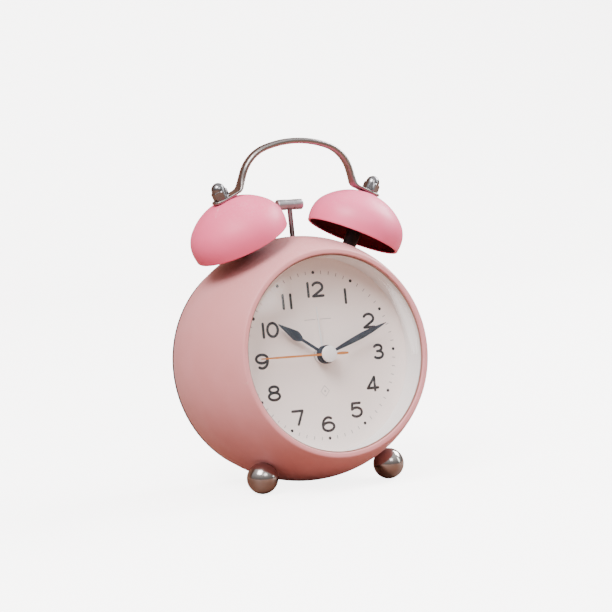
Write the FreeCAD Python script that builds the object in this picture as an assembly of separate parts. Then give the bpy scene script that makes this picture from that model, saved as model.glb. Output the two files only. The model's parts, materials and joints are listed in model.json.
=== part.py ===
import FreeCAD, Part
import math
import os

# A twin-bell alarm clock in millimetres.
# It is drawn upright, with the axis of its round case along Y: X is to the right, Y runs back from
# the front opening and Z is up from the centre of the dial. The last step leans the whole clock
# back onto its two ball feet and the lower edge of its back cover.

Vector = FreeCAD.Vector
FRONT_TO_BACK = Vector(0, 1, 0)

# ---------------------------------------------------------------- case
CASE_RADIUS = 43.7            # widest outside radius of the drawn shell
BARREL_ARC = 60.0             # radius of the barrel curve along the depth
WIDEST_Y = 29.0               # depth of the widest circle
SHELL_DEPTH = 48.4
WALL = 0.8
OPENING_RADIUS = 34.5
LIP_DEPTH = 0.9
FLANGE_RADIUS = 40.7          # edge of the back cover, which the clock rests on
COVER_BACK_Y = 48.9
COVER_THICKNESS = 1.8
SPIGOT_RADIUS = 39.4
SPIGOT_FRONT_Y = 44.5

# ---------------------------------------------------------------- front stack
GASKET_THICKNESS = 0.4
GASKET_INNER_RADIUS = 34.0
LENS_RADIUS = 34.8
LENS_THICKNESS = 1.6
LENS_RISE = 4.5
DIAL_Y = 12.5
DIAL_THICKNESS = 0.8
DIAL_RADIUS = 38.5
SURROUND_RADIUS = 34.3

# ---------------------------------------------------------------- bells, handle and hammer
BELL_CENTRE = (22.3, 20.5, 42.1)   # centre of the right bell's rim
BELL_TILT = 25.1              # degrees outward
BELL_LEAN = 9.9               # degrees forward
BELL_HEIGHT = 16.3
BELL_BULGE_RADIUS = 17.5
BELL_BULGE_HEIGHT = 3.05
BELL_SHOULDER_ARC = 9.9
BELL_SKIRT_ARC = 14.7
BELL_WALL = 0.7
STUD_RADIUS = 1.5             # M3 studs hold the bells and the feet
STUD_HOLE_RADIUS = 1.6
WASHER_TOP = BELL_HEIGHT - BELL_WALL - 0.35
WASHER_THICKNESS = 0.6
TAB_THICKNESS = 1.0
HANDLE_CROWN_HEIGHT = 34.8    # above the centres of the bell rims, in the bells' plane
HANDLE_CROWN_ARC = 39.0
HANDLE_SHOULDER_ARC = 13.9
HANDLE_BEND_ARC = 3.0
HANDLE_LEG_ANGLE = 17.0       # degrees from the upright
HANDLE_LEG_POINT = (22.8, 19.0)
HANDLE_WIDTH = 3.8
HANDLE_THICKNESS = 2.1
HAMMER_Y = 24.5
HAMMER_PIVOT_Z = 33.0
HAMMER_HEAD_Z = 54.9
HAMMER_HEAD_RADIUS = 1.9
HAMMER_HEAD_LENGTH = 10.0
HAMMER_ROD_RADIUS = 0.9
SLOT_HALF_LENGTH = 4.2        # slot in the top of the case, wide enough for the hammer's swing
SLOT_HALF_WIDTH = 1.8
BRACKET_HALF_DEPTH = 6.0       # front and back plates that hold the hammer's pivot

# ---------------------------------------------------------------- feet
FOOT_RADIUS = 5.5
FOOT_FLAT_RADIUS = 2.2         # flat turned on each ball where its stud enters
FOOT_FLAT_GAP = 0.09
FOOT_ANGLE = 32.0             # degrees either side of straight down
FOOT_Y = 18.1
# ball centre above the painted face
FOOT_STANDOFF = FOOT_FLAT_GAP + math.sqrt(FOOT_RADIUS ** 2 - FOOT_FLAT_RADIUS ** 2)

# ---------------------------------------------------------------- hands
HAND_THICKNESS = 0.25
HUB_RADIUS = 3.25
CAP_RADIUS = 2.9
CAP_FRONT_Y = 5.9
SECOND_HAND_Y = 6.75
MINUTE_HAND_Y = 8.1
HOUR_HAND_Y = 9.5
ALARM_HAND_Y = 10.9
MINUTE_ANGLE = 69.3           # degrees clockwise from twelve
HOUR_ANGLE = 304.6
SECOND_ANGLE = 270.7
ALARM_ANGLE = 357.0

# ---------------------------------------------------------------- movement
MOVEMENT_FRONT_Y = DIAL_Y + DIAL_THICKNESS
MOVEMENT_SPLIT_Y = 21.5
MOVEMENT_BACK_Y = 29.0
MOVEMENT_HALF_WIDTH = 25.0
MOVEMENT_TOP_Z = 18.0
MOVEMENT_BOTTOM_Z = -25.0
MOULDING = 1.2                # wall of the moulded boxes
MIDDLE_PLATE_BACK_Y = 22.1
RUNNING = 0.05                # radial clearance of a turning shaft

SECOND_ARBOR_RADIUS = 0.45
MINUTE_PIPE_RADIUS = 1.1
HOUR_PIPE_RADIUS = 1.7
ALARM_PIPE_RADIUS = 2.3
SMALL_ARBOR_RADIUS = 0.5
SETTING_ARBOR_RADIUS = 1.2

# Tooth counts and modules of the gear train.
PINION_TEETH = 10
ROTOR_MODULE = 0.2
INTERMEDIATE_TEETH = 50
SECOND_MODULE = 0.22
SECOND_TEETH = 60
THIRD_MODULE = 0.24
THIRD_TEETH = 75
CENTRE_TEETH = 80
MOTION_MODULE = 0.5
MOTION_TEETH = 30
HOUR_TEETH = 40
SETTING_TEETH = 12
ALARM_MODULE = 0.4
ALARM_TEETH = 40

THIRD_DISTANCE = (PINION_TEETH + THIRD_TEETH) * THIRD_MODULE / 2
CENTRE_MODULE = 2 * THIRD_DISTANCE / (PINION_TEETH + CENTRE_TEETH)
SECOND_DISTANCE = (PINION_TEETH + SECOND_TEETH) * SECOND_MODULE / 2
ROTOR_DISTANCE = (PINION_TEETH + INTERMEDIATE_TEETH) * ROTOR_MODULE / 2
MOTION_DISTANCE = (PINION_TEETH + MOTION_TEETH) * MOTION_MODULE / 2
HOUR_MODULE = 2 * MOTION_DISTANCE / (PINION_TEETH + HOUR_TEETH)
SETTING_DISTANCE = (SETTING_TEETH + MOTION_TEETH) * MOTION_MODULE / 2
ALARM_DISTANCE = ALARM_TEETH * ALARM_MODULE

# ---------------------------------------------------------------- battery bay and back controls
CELL_RADIUS = 7.25            # one AA cell
CELL_LENGTH = 50.5
CELL_Y = 38.6
CELL_Z = -17.0
CELL_NUB_X = -26.6
BAY_HALF_WIDTH = 27.2
BAY_HALF_HEIGHT = 8.2
BAY_FRONT_Y = 30.6
KNOB_RADIUS = 5.5
KNOB_FRONT_Y = 49.3
KNOB_LENGTH = 3.0
SWITCH_X = -2.0
SWITCH_Z = 25.0
SWITCH_TRAVEL = 4.0
COLUMN_RADIUS = 2.4
COLUMN_PLACES = ((-29.0, 20.0), (29.0, 20.0), (0.0, -33.5))
SCREW_RADIUS = 1.1
SCREW_LENGTH = 10.0


def polar(distance, degrees):
    """Point in the XZ plane at an angle from +X towards +Z."""
    return (distance * math.cos(math.radians(degrees)), distance * math.sin(math.radians(degrees)))


def beside(place, distance, degrees):
    """Point at a distance and angle from another point of the XZ plane."""
    step = polar(distance, degrees)
    return (place[0] + step[0], place[1] + step[1])


CENTRE = (0.0, 0.0)
MOTION_PLACE = polar(MOTION_DISTANCE, 20)
TIME_SETTING_PLACE = beside(MOTION_PLACE, SETTING_DISTANCE, 25)
ALARM_SETTING_PLACE = polar(ALARM_DISTANCE, 150.5)
THIRD_PLACE = polar(THIRD_DISTANCE, 200)
INTERMEDIATE_PLACE = polar(SECOND_DISTANCE, -60)
ROTOR_PLACE = beside(INTERMEDIATE_PLACE, ROTOR_DISTANCE, -30)


# ---------------------------------------------------------------- simple solids
def rod(radius, front, back, place=CENTRE):
    """Cylinder along Y between two depths."""
    return Part.makeCylinder(radius, back - front, Vector(place[0], front, place[1]), FRONT_TO_BACK)


def tube(outer, inner, front, back, place=CENTRE):
    """Hollow cylinder along Y between two depths."""
    return rod(outer, front, back, place).cut(rod(inner, front - 1, back + 1, place))


def block(x_range, y_range, z_range):
    """Box between pairs of limits."""
    size = (x_range[1] - x_range[0], y_range[1] - y_range[0], z_range[1] - z_range[0])
    return Part.makeBox(size[0], size[1], size[2], Vector(x_range[0], y_range[0], z_range[0]))


def rounded_block(x_range, y_range, z_range, radius):
    """Box whose four edges along Y are rounded."""
    solid = block(x_range, y_range, z_range)
    edges = [edge for edge in solid.Edges if abs(edge.tangentAt(edge.FirstParameter).y) > 0.99]
    return solid.makeFillet(radius, edges)


def join(solids):
    """One solid from several that touch or overlap."""
    solids = list(solids)
    result = solids[0].fuse(solids[1:]).removeSplitter()
    return result.Solids[0] if len(result.Solids) == 1 else result


def between(start, end, radius):
    """Round bar from one point to another."""
    return Part.makeCylinder(radius, (end - start).Length, start, end - start)


def straight(start, end):
    """Edge between two points of the XY plane, given as (radius, depth)."""
    return Part.makeLine(Vector(start[0], start[1], 0), Vector(end[0], end[1], 0))


def curved(start, middle, end):
    """Arc through three points of the XY plane, given as (radius, depth)."""
    points = [Vector(point[0], point[1], 0) for point in (start, middle, end)]
    return Part.Arc(*points).toShape()


def turned(edges):
    """Solid of revolution about Y from a closed outline of (radius, depth) edges."""
    face = Part.Face(Part.Wire(Part.__sortEdges__(edges)))
    return face.revolve(Vector(0, 0, 0), FRONT_TO_BACK, 360)


def turned_corners(corners):
    """Solid of revolution about Y from the (radius, depth) corners of a straight-sided outline."""
    return turned([straight(a, b) for a, b in zip(corners, corners[1:] + corners[:1])])


def extruded(points, front, back):
    """Straight-sided plate along Y from outline corners (x, z)."""
    corners = [Vector(x, front, z) for x, z in points]
    face = Part.Face(Part.makePolygon(corners + corners[:1]))
    return face.extrude(Vector(0, back - front, 0))


# ---------------------------------------------------------------- gears
def involute(angle):
    """Involute function of a pressure angle in radians."""
    return math.tan(angle) - angle


def gear(teeth, module, front, back, place=CENTRE, phase=0.0, addendum=0.8, play=0.05):
    """Involute gear along Y with one tooth centred at phase degrees from +X towards +Z."""
    pitch = teeth * module / 2
    base = pitch * math.cos(math.radians(20))
    root = pitch - 1.25 * module
    tip = pitch + addendum * module
    half_angle = math.pi / (2 * teeth) - play / (2 * pitch) + involute(math.radians(20))
    start = max(base, root)
    radii = [start, (start + pitch) / 2, pitch, (pitch + tip) / 2, tip]
    flank = [(radius, half_angle - involute(math.acos(min(1.0, base / radius)))) for radius in radii]
    if root < base:
        flank.insert(0, (root, half_angle))
    points = []
    for tooth in range(teeth):
        centre = math.radians(phase) + 2 * math.pi * tooth / teeth
        points += [(radius, centre - angle) for radius, angle in flank]
        points += [(radius, centre + angle) for radius, angle in reversed(flank)]
    outline = [(place[0] + r * math.cos(a), place[1] + r * math.sin(a)) for r, a in points]
    return extruded(outline, front, back)


def meshing_phase(phase, teeth, place, other_teeth, other_place):
    """Phase that lets the other gear mesh with this one."""
    line = math.degrees(math.atan2(other_place[1] - place[1], other_place[0] - place[0]))
    share = (phase - line) * teeth / 360
    return line + 180 + 360 / other_teeth * (0.5 - share)


ROTOR_PHASE = 0.0
INTERMEDIATE_PHASE = meshing_phase(ROTOR_PHASE, PINION_TEETH, ROTOR_PLACE, INTERMEDIATE_TEETH,
                                   INTERMEDIATE_PLACE)
SECOND_WHEEL_PHASE = meshing_phase(0.0, PINION_TEETH, INTERMEDIATE_PLACE, SECOND_TEETH, CENTRE)
THIRD_WHEEL_PHASE = meshing_phase(0.0, PINION_TEETH, CENTRE, THIRD_TEETH, THIRD_PLACE)
CENTRE_WHEEL_PHASE = meshing_phase(0.0, PINION_TEETH, THIRD_PLACE, CENTRE_TEETH, CENTRE)
MOTION_WHEEL_PHASE = meshing_phase(0.0, PINION_TEETH, CENTRE, MOTION_TEETH, MOTION_PLACE)
HOUR_WHEEL_PHASE = meshing_phase(0.0, PINION_TEETH, MOTION_PLACE, HOUR_TEETH, CENTRE)
SETTING_PHASE = meshing_phase(MOTION_WHEEL_PHASE, MOTION_TEETH, MOTION_PLACE, SETTING_TEETH,
                              TIME_SETTING_PLACE)
ALARM_SETTING_PHASE = meshing_phase(0.0, ALARM_TEETH, CENTRE, ALARM_TEETH, ALARM_SETTING_PLACE)


# ---------------------------------------------------------------- places on the case
def shell_radius(depth, inset=0.0):
    """Radius of the barrel at a depth, at an inset inside its painted face."""
    arc = BARREL_ARC - inset
    return CASE_RADIUS - BARREL_ARC + math.sqrt(arc ** 2 - (depth - WIDEST_Y) ** 2)


def barrel(inset):
    """Solid barrel whose face lies at an inset inside the painted face."""
    front = (shell_radius(0, inset), 0)
    middle = (CASE_RADIUS - inset, WIDEST_Y)
    back = (shell_radius(SHELL_DEPTH, inset), SHELL_DEPTH)
    edges = [curved(front, middle, back), straight(back, (0, SHELL_DEPTH)),
             straight((0, SHELL_DEPTH), (0, 0)), straight((0, 0), front)]
    return turned(edges)


def foot_point(side, height):
    """Point of a foot's axis at a height above the painted face."""
    lean = math.asin((WIDEST_Y - FOOT_Y) / BARREL_ARC)
    radius = shell_radius(FOOT_Y) + height * math.cos(lean)
    angle = math.radians(FOOT_ANGLE)
    return Vector(side * radius * math.sin(angle), FOOT_Y - height * math.sin(lean),
                  -radius * math.cos(angle))


def bell_plane():
    """Placement of the leaning plane that holds both bell axes and the handle."""
    return FreeCAD.Placement(Vector(0, BELL_CENTRE[1], BELL_CENTRE[2]),
                             FreeCAD.Rotation(Vector(1, 0, 0), BELL_LEAN))


def bell_frame(side):
    """Placement of a bell whose own axis is Z and whose rim is at height 0."""
    own = FreeCAD.Placement(Vector(side * BELL_CENTRE[0], 0, 0),
                            FreeCAD.Rotation(Vector(0, 1, 0), side * BELL_TILT))
    return bell_plane().multiply(own)


def moved(solid, placement):
    """A copy of the solid moved by a placement."""
    copy = solid.copy()
    copy.Placement = placement.multiply(copy.Placement)
    return copy


def upright(radius, low, high):
    """Cylinder along Z between two heights."""
    return Part.makeCylinder(radius, high - low, Vector(0, 0, low))


# ---------------------------------------------------------------- case and back
def case_shell():
    lip_inner = shell_radius(LIP_DEPTH, WALL)
    outer_front = (shell_radius(0), 0)
    outer_back = (shell_radius(SHELL_DEPTH), SHELL_DEPTH)
    inner_back = (shell_radius(SHELL_DEPTH, WALL), SHELL_DEPTH)
    edges = [curved(outer_front, (CASE_RADIUS, WIDEST_Y), outer_back),
             straight(outer_back, inner_back),
             curved(inner_back, (CASE_RADIUS - WALL, WIDEST_Y), (lip_inner, LIP_DEPTH)),
             straight((lip_inner, LIP_DEPTH), (OPENING_RADIUS, LIP_DEPTH)),
             straight((OPENING_RADIUS, LIP_DEPTH), (OPENING_RADIUS, 0)),
             straight((OPENING_RADIUS, 0), outer_front)]
    shell = turned(edges)
    slot = block((-SLOT_HALF_LENGTH, SLOT_HALF_LENGTH),
                 (HAMMER_Y - SLOT_HALF_WIDTH, HAMMER_Y + SLOT_HALF_WIDTH), (40, 48))
    holes = [slot]
    for side in (-1, 1):
        holes.append(moved(upright(STUD_HOLE_RADIUS, -12, 0), bell_frame(side)))
        holes.append(between(foot_point(side, -5), foot_point(side, 3), STUD_HOLE_RADIUS))
    return shell.cut(holes)


def inner_frame():
    front = MOVEMENT_FRONT_Y
    plate = rod(DIAL_RADIUS, front, front + 3)
    window = block((-25.2, 25.2), (front - 1, front + 4), (-25.2, MOVEMENT_TOP_Z + 0.2))
    rim = tube(DIAL_RADIUS, 36.5, front + 3, 26)
    gap_for_striker = block((-13, 13), (front + 3, 27), (20, 40))
    pieces = [plate.cut(window), rim.cut(gap_for_striker)]
    for place in COLUMN_PLACES:
        pieces.append(rod(COLUMN_RADIUS, front + 3, COVER_BACK_Y - COVER_THICKNESS, place))
    inside = barrel(WALL + 0.1)
    for side in (-1, 1):
        bell_boss = moved(upright(3.2, -14, 0), bell_frame(side))
        foot_boss = between(foot_point(side, -9), foot_point(side, 0), 3.4)
        pieces += [bell_boss.common(inside), foot_boss.common(inside)]
    frame = join(pieces)
    bores = [rod(SCREW_RADIUS, COVER_BACK_Y - SCREW_LENGTH, COVER_BACK_Y, place)
             for place in COLUMN_PLACES]
    for side in (-1, 1):
        bores.append(moved(upright(STUD_RADIUS, -11, 0), bell_frame(side)))
        bores.append(between(foot_point(side, -6), foot_point(side, 0), STUD_RADIUS))
    return frame.cut(bores)


def rear_cover():
    inner_face = COVER_BACK_Y - COVER_THICKNESS
    plate = turned_corners([(0, inner_face), (SPIGOT_RADIUS - 1.5, inner_face),
                            (SPIGOT_RADIUS - 1.5, SPIGOT_FRONT_Y), (SPIGOT_RADIUS, SPIGOT_FRONT_Y),
                            (SPIGOT_RADIUS, SHELL_DEPTH), (FLANGE_RADIUS, SHELL_DEPTH),
                            (FLANGE_RADIUS, COVER_BACK_Y), (0, COVER_BACK_Y)])
    low = CELL_Z - BAY_HALF_HEIGHT
    high = CELL_Z + BAY_HALF_HEIGHT
    outer = block((-BAY_HALF_WIDTH - MOULDING, BAY_HALF_WIDTH + MOULDING),
                  (BAY_FRONT_Y - 1.1, inner_face), (low - MOULDING, high + MOULDING))
    bay = rounded_block((-BAY_HALF_WIDTH, BAY_HALF_WIDTH), (BAY_FRONT_Y, COVER_BACK_Y + 1),
                        (low, high), 1.0)
    cover = join([plate, outer]).cut(bay)
    ledges = [block(sorted((side * 26.4, side * BAY_HALF_WIDTH)), (45.9, 47.1), (-21, -13))
              for side in (-1, 1)]
    cover = join([cover] + ledges)
    openings = [rod(SETTING_ARBOR_RADIUS + 0.4, 40, 52, place)
                for place in (TIME_SETTING_PLACE, ALARM_SETTING_PLACE)]
    openings += [rod(SCREW_RADIUS + 0.1, 40, 52, place) for place in COLUMN_PLACES]
    openings.append(block((SWITCH_X - 2.2, SWITCH_X + SWITCH_TRAVEL + 2.2), (40, 52),
                          (SWITCH_Z - 1.3, SWITCH_Z + 1.3)))
    sound_slots = [rounded_block((x - 0.7, x + 0.7), (46, 50), (13, 19), 0.6)
                   for x in (-5.2, -2.6, 0, 2.6, 5.2)]
    return cover.cut(openings + sound_slots)


def rear_cover_screws():
    screws = []
    for place in COLUMN_PLACES:
        shank = rod(SCREW_RADIUS, COVER_BACK_Y - SCREW_LENGTH + 0.5, COVER_BACK_Y, place)
        head = rod(2.5, COVER_BACK_Y, COVER_BACK_Y + 1.3, place)
        head = head.makeFillet(0.6, [head.Edges[0]])
        cross = [block((place[0] - 1.4, place[0] + 1.4), (COVER_BACK_Y + 0.6, COVER_BACK_Y + 2),
                       (place[1] - 0.25, place[1] + 0.25)),
                 block((place[0] - 0.25, place[0] + 0.25), (COVER_BACK_Y + 0.6, COVER_BACK_Y + 2),
                       (place[1] - 1.4, place[1] + 1.4))]
        screws.append(join([shank, head]).cut(cross))
    return Part.makeCompound(screws)


def battery_door():
    low = CELL_Z - BAY_HALF_HEIGHT + 0.3
    high = CELL_Z + BAY_HALF_HEIGHT - 0.3
    half = BAY_HALF_WIDTH - 0.3
    plate = rounded_block((-half, half), (COVER_BACK_Y - 1.4, COVER_BACK_Y), (low, high), 0.8)
    latch = block((-3, 3), (43.5, COVER_BACK_Y - 1.4), (high - 0.9, high - 0.1))
    tongues = [block((x - 2, x + 2), (44.5, COVER_BACK_Y - 1.4), (low + 0.1, low + 0.9))
               for x in (-16, 16)]
    grooves = [block((-7, 7), (COVER_BACK_Y - 0.4, COVER_BACK_Y + 1), (z - 0.35, z + 0.35))
               for z in (high - 2.5, high - 4.0, high - 5.5)]
    return join([plate, latch] + tongues).cut(grooves)


# ---------------------------------------------------------------- front stack
def lens():
    front = LIP_DEPTH + GASKET_THICKNESS
    back = front + LENS_THICKNESS
    dome = GASKET_INNER_RADIUS - 0.1
    sphere = (dome ** 2 + LENS_RISE ** 2) / (2 * LENS_RISE)
    inner_sphere = sphere - LENS_THICKNESS
    apex = front - LENS_RISE
    inner_dome = math.sqrt(inner_sphere ** 2 - (inner_sphere - LENS_RISE) ** 2)
    half = dome / 2
    inner_half = inner_dome / 2
    outer_middle = (half, apex + sphere - math.sqrt(sphere ** 2 - half ** 2))
    inner_middle = (inner_half, apex + sphere - math.sqrt(inner_sphere ** 2 - inner_half ** 2))
    edges = [curved((0, apex), outer_middle, (dome, front)),
             straight((dome, front), (LENS_RADIUS, front)),
             straight((LENS_RADIUS, front), (LENS_RADIUS, back)),
             straight((LENS_RADIUS, back), (inner_dome, back)),
             curved((inner_dome, back), inner_middle, (0, apex + LENS_THICKNESS)),
             straight((0, apex + LENS_THICKNESS), (0, apex))]
    return turned(edges)


def lens_gasket():
    return tube(LENS_RADIUS - 0.1, GASKET_INNER_RADIUS, LIP_DEPTH, LIP_DEPTH + GASKET_THICKNESS)


def dial_surround():
    front = LIP_DEPTH + GASKET_THICKNESS + LENS_THICKNESS
    return turned_corners([(SURROUND_RADIUS, front), (SURROUND_RADIUS + 0.8, front),
                           (SURROUND_RADIUS + 0.8, DIAL_Y - 1), (DIAL_RADIUS, DIAL_Y - 1),
                           (DIAL_RADIUS, DIAL_Y), (SURROUND_RADIUS, DIAL_Y)])


def dial_plate():
    return tube(DIAL_RADIUS, ALARM_PIPE_RADIUS + 0.6, DIAL_Y, DIAL_Y + DIAL_THICKNESS)


# ---------------------------------------------------------------- hands
def blade(half_outline, front, degrees):
    """Flat hand from edges of its right half, turned clockwise from twelve."""
    mirror = FreeCAD.Matrix()
    mirror.A11 = -1
    other_half = [edge.transformGeometry(mirror) for edge in half_outline]
    face = Part.Face(Part.Wire(Part.__sortEdges__(half_outline + other_half)))
    hand = face.extrude(Vector(0, HAND_THICKNESS, 0))
    hand.translate(Vector(0, front, 0))
    hand.rotate(Vector(0, 0, 0), FRONT_TO_BACK, degrees)
    return hand


def hand_line(start, end):
    """Straight stretch of a hand's outline, given as (half width, reach)."""
    return Part.makeLine(Vector(start[0], 0, start[1]), Vector(end[0], 0, end[1]))


def hand_curve(start, middle, end):
    """Curved stretch of a hand's outline, given as (half width, reach)."""
    return Part.Arc(*[Vector(width, 0, reach) for width, reach in (start, middle, end)]).toShape()


def hour_hand():
    outline = [hand_line((0, 1.0), (0.52, 1.0)),
               hand_line((0.52, 1.0), (0.5, 10.2)),
               hand_curve((0.5, 10.2), (1.35, 11.5), (1.78, 13.2)),
               hand_curve((1.78, 13.2), (1.1, 16.4), (0.12, 20.8)),
               hand_line((0.12, 20.8), (0, 20.8))]
    solid = join([blade(outline, HOUR_HAND_Y, HOUR_ANGLE),
                  rod(HUB_RADIUS, HOUR_HAND_Y, HOUR_HAND_Y + 0.4), rod(2.2, HOUR_HAND_Y, 10.4)])
    return solid.cut(rod(HOUR_PIPE_RADIUS, 9, 11))


def minute_hand():
    outline = [hand_line((0, 1.0), (0.45, 1.0)),
               hand_line((0.45, 1.0), (0.5, 4.2)),
               hand_curve((0.5, 4.2), (0.9, 10.0), (1.08, 16.0)),
               hand_curve((1.08, 16.0), (0.72, 21.4), (0.1, 26.5)),
               hand_line((0.1, 26.5), (0, 26.5))]
    solid = join([blade(outline, MINUTE_HAND_Y, MINUTE_ANGLE),
                  rod(HUB_RADIUS, MINUTE_HAND_Y, MINUTE_HAND_Y + 0.4), rod(1.8, MINUTE_HAND_Y, 9.0)])
    return solid.cut(rod(MINUTE_PIPE_RADIUS, 7.5, 10))


def second_hand():
    outline = [hand_line((0, -7.7), (0.3, -7.7)),
               hand_curve((0.3, -7.7), (0.5, -5.6), (0.36, -3.4)),
               hand_line((0.36, -3.4), (0.36, 20.0)),
               hand_line((0.36, 20.0), (0.2, 26.4)),
               hand_line((0.2, 26.4), (0, 26.4))]
    solid = join([blade(outline, SECOND_HAND_Y, SECOND_ANGLE),
                  rod(2.0, SECOND_HAND_Y, SECOND_HAND_Y + HAND_THICKNESS),
                  rod(0.9, SECOND_HAND_Y, 7.7)])
    return solid.cut(rod(SECOND_ARBOR_RADIUS, 6, 8))


def alarm_hand():
    outline = [hand_line((0, 1.0), (0.35, 1.0)),
               hand_line((0.35, 1.0), (0.12, 16.9)),
               hand_line((0.12, 16.9), (0, 16.9))]
    solid = join([blade(outline, ALARM_HAND_Y, ALARM_ANGLE), rod(3.0, ALARM_HAND_Y, 11.9)])
    return solid.cut(rod(ALARM_PIPE_RADIUS, 10, 12.4))


def hand_cap():
    rise = 0.35
    back = SECOND_HAND_Y
    edges = [curved((0, CAP_FRONT_Y), (CAP_RADIUS / 2, CAP_FRONT_Y + 0.06),
                    (CAP_RADIUS - 0.35, CAP_FRONT_Y + 0.22)),
             curved((CAP_RADIUS - 0.35, CAP_FRONT_Y + 0.22), (CAP_RADIUS - 0.08, CAP_FRONT_Y + rise),
                    (CAP_RADIUS, CAP_FRONT_Y + 0.6)),
             straight((CAP_RADIUS, CAP_FRONT_Y + 0.6), (CAP_RADIUS, back)),
             straight((CAP_RADIUS, back), (0, back)),
             straight((0, back), (0, CAP_FRONT_Y))]
    return turned(edges).cut(rod(SECOND_ARBOR_RADIUS, 6.35, 8))


# ---------------------------------------------------------------- bells and handle
def bell(side):
    centre_height = BELL_BULGE_HEIGHT
    shoulder_x = BELL_BULGE_RADIUS - BELL_SHOULDER_ARC
    drop = BELL_HEIGHT - centre_height
    crown_arc = (shoulder_x ** 2 + drop ** 2 - BELL_SHOULDER_ARC ** 2) / (2 * (drop - BELL_SHOULDER_ARC))
    crown_z = BELL_HEIGHT - crown_arc
    join_angle = math.atan2(centre_height - crown_z, shoulder_x)
    skirt_x = BELL_BULGE_RADIUS - BELL_SKIRT_ARC

    def around(centre_x, centre_z, radius, angle):
        return Vector(centre_x + radius * math.cos(angle), 0, centre_z + radius * math.sin(angle))

    def wall_edges(inset):
        rim_angle = -math.asin(centre_height / (BELL_SKIRT_ARC - inset))
        skirt = [around(skirt_x, centre_height, BELL_SKIRT_ARC - inset, angle)
                 for angle in (rim_angle, rim_angle / 2, 0)]
        shoulder = [around(shoulder_x, centre_height, BELL_SHOULDER_ARC - inset, angle)
                    for angle in (0, join_angle / 2, join_angle)]
        middle_angle = (join_angle + math.pi / 2) / 2
        crown = [around(0, crown_z, crown_arc - inset, angle)
                 for angle in (join_angle, middle_angle, math.pi / 2)]
        return [Part.Arc(*points).toShape() for points in (skirt, shoulder, crown)]

    outer = wall_edges(0)
    inner = wall_edges(BELL_WALL)
    rim = Part.makeLine(inner[0].Vertexes[0].Point, outer[0].Vertexes[0].Point)
    axis = Part.makeLine(Vector(0, 0, BELL_HEIGHT), Vector(0, 0, BELL_HEIGHT - BELL_WALL))
    face = Part.Face(Part.Wire(Part.__sortEdges__(outer + inner + [rim, axis])))
    solid = face.revolve(Vector(0, 0, 0), Vector(0, 0, 1), 360)
    solid = solid.cut(upright(STUD_HOLE_RADIUS, 10, 20))
    return moved(solid, bell_frame(side))


def bell_posts():
    return Part.makeCompound([moved(upright(STUD_RADIUS, -10.5, BELL_HEIGHT + TAB_THICKNESS + 3.4),
                                    bell_frame(side)) for side in (-1, 1)])


def bell_spacers():
    outside = barrel(0)
    spacers = []
    for side in (-1, 1):
        sleeve = upright(2.5, -8, 12.6).cut(upright(STUD_RADIUS, -9, 20))
        collar = upright(3.6, 12.5, WASHER_TOP - WASHER_THICKNESS).cut(upright(STUD_RADIUS, 12, 20))
        sleeve = moved(join([sleeve, collar]), bell_frame(side))
        spacers.append(sleeve.cut(outside))
    return Part.makeCompound(spacers)


def bell_washers():
    ring = upright(3.2, WASHER_TOP - WASHER_THICKNESS, WASHER_TOP).cut(upright(STUD_RADIUS, 10, 20))
    return Part.makeCompound([moved(ring, bell_frame(side)) for side in (-1, 1)])


def acorn_nuts():
    flats = 5.2
    base = BELL_HEIGHT + TAB_THICKNESS
    corner = flats / math.sqrt(3)
    points = [Vector(corner * math.cos(math.radians(a)), corner * math.sin(math.radians(a)), base)
              for a in range(0, 361, 60)]
    hexagon = Part.Face(Part.makePolygon(points)).extrude(Vector(0, 0, 2.6))
    cone_top = Part.makeCone(corner + 1.3, corner - 0.6, 2.6, Vector(0, 0, base))
    hexagon = hexagon.common(cone_top)
    dome_radius = 2.35
    neck = upright(dome_radius, base + 2.0, base + 3.5)
    dome = Part.makeSphere(dome_radius, Vector(0, 0, base + 3.5))
    nut = join([hexagon, neck, dome.cut(upright(4, base - 4, base + 2.4))])
    nut = nut.cut(upright(STUD_RADIUS, base - 1, base + 3.4))
    return Part.makeCompound([moved(nut, bell_frame(side)) for side in (-1, 1)])


def stadium(width, thickness, origin, direction):
    """Rounded strip section normal to a direction of the XZ plane, with its width along Y."""
    across = Vector(direction.z, 0, -direction.x)
    half = (width - thickness) / 2
    radius = thickness / 2
    front = origin + Vector(0, -half, 0)
    back = origin + Vector(0, half, 0)
    edges = [Part.makeLine(front + across * radius, back + across * radius),
             Part.Arc(back + across * radius, back + Vector(0, radius, 0),
                      back - across * radius).toShape(),
             Part.makeLine(back - across * radius, front - across * radius),
             Part.Arc(front - across * radius, front - Vector(0, radius, 0),
                      front + across * radius).toShape()]
    return Part.Wire(edges)


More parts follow.
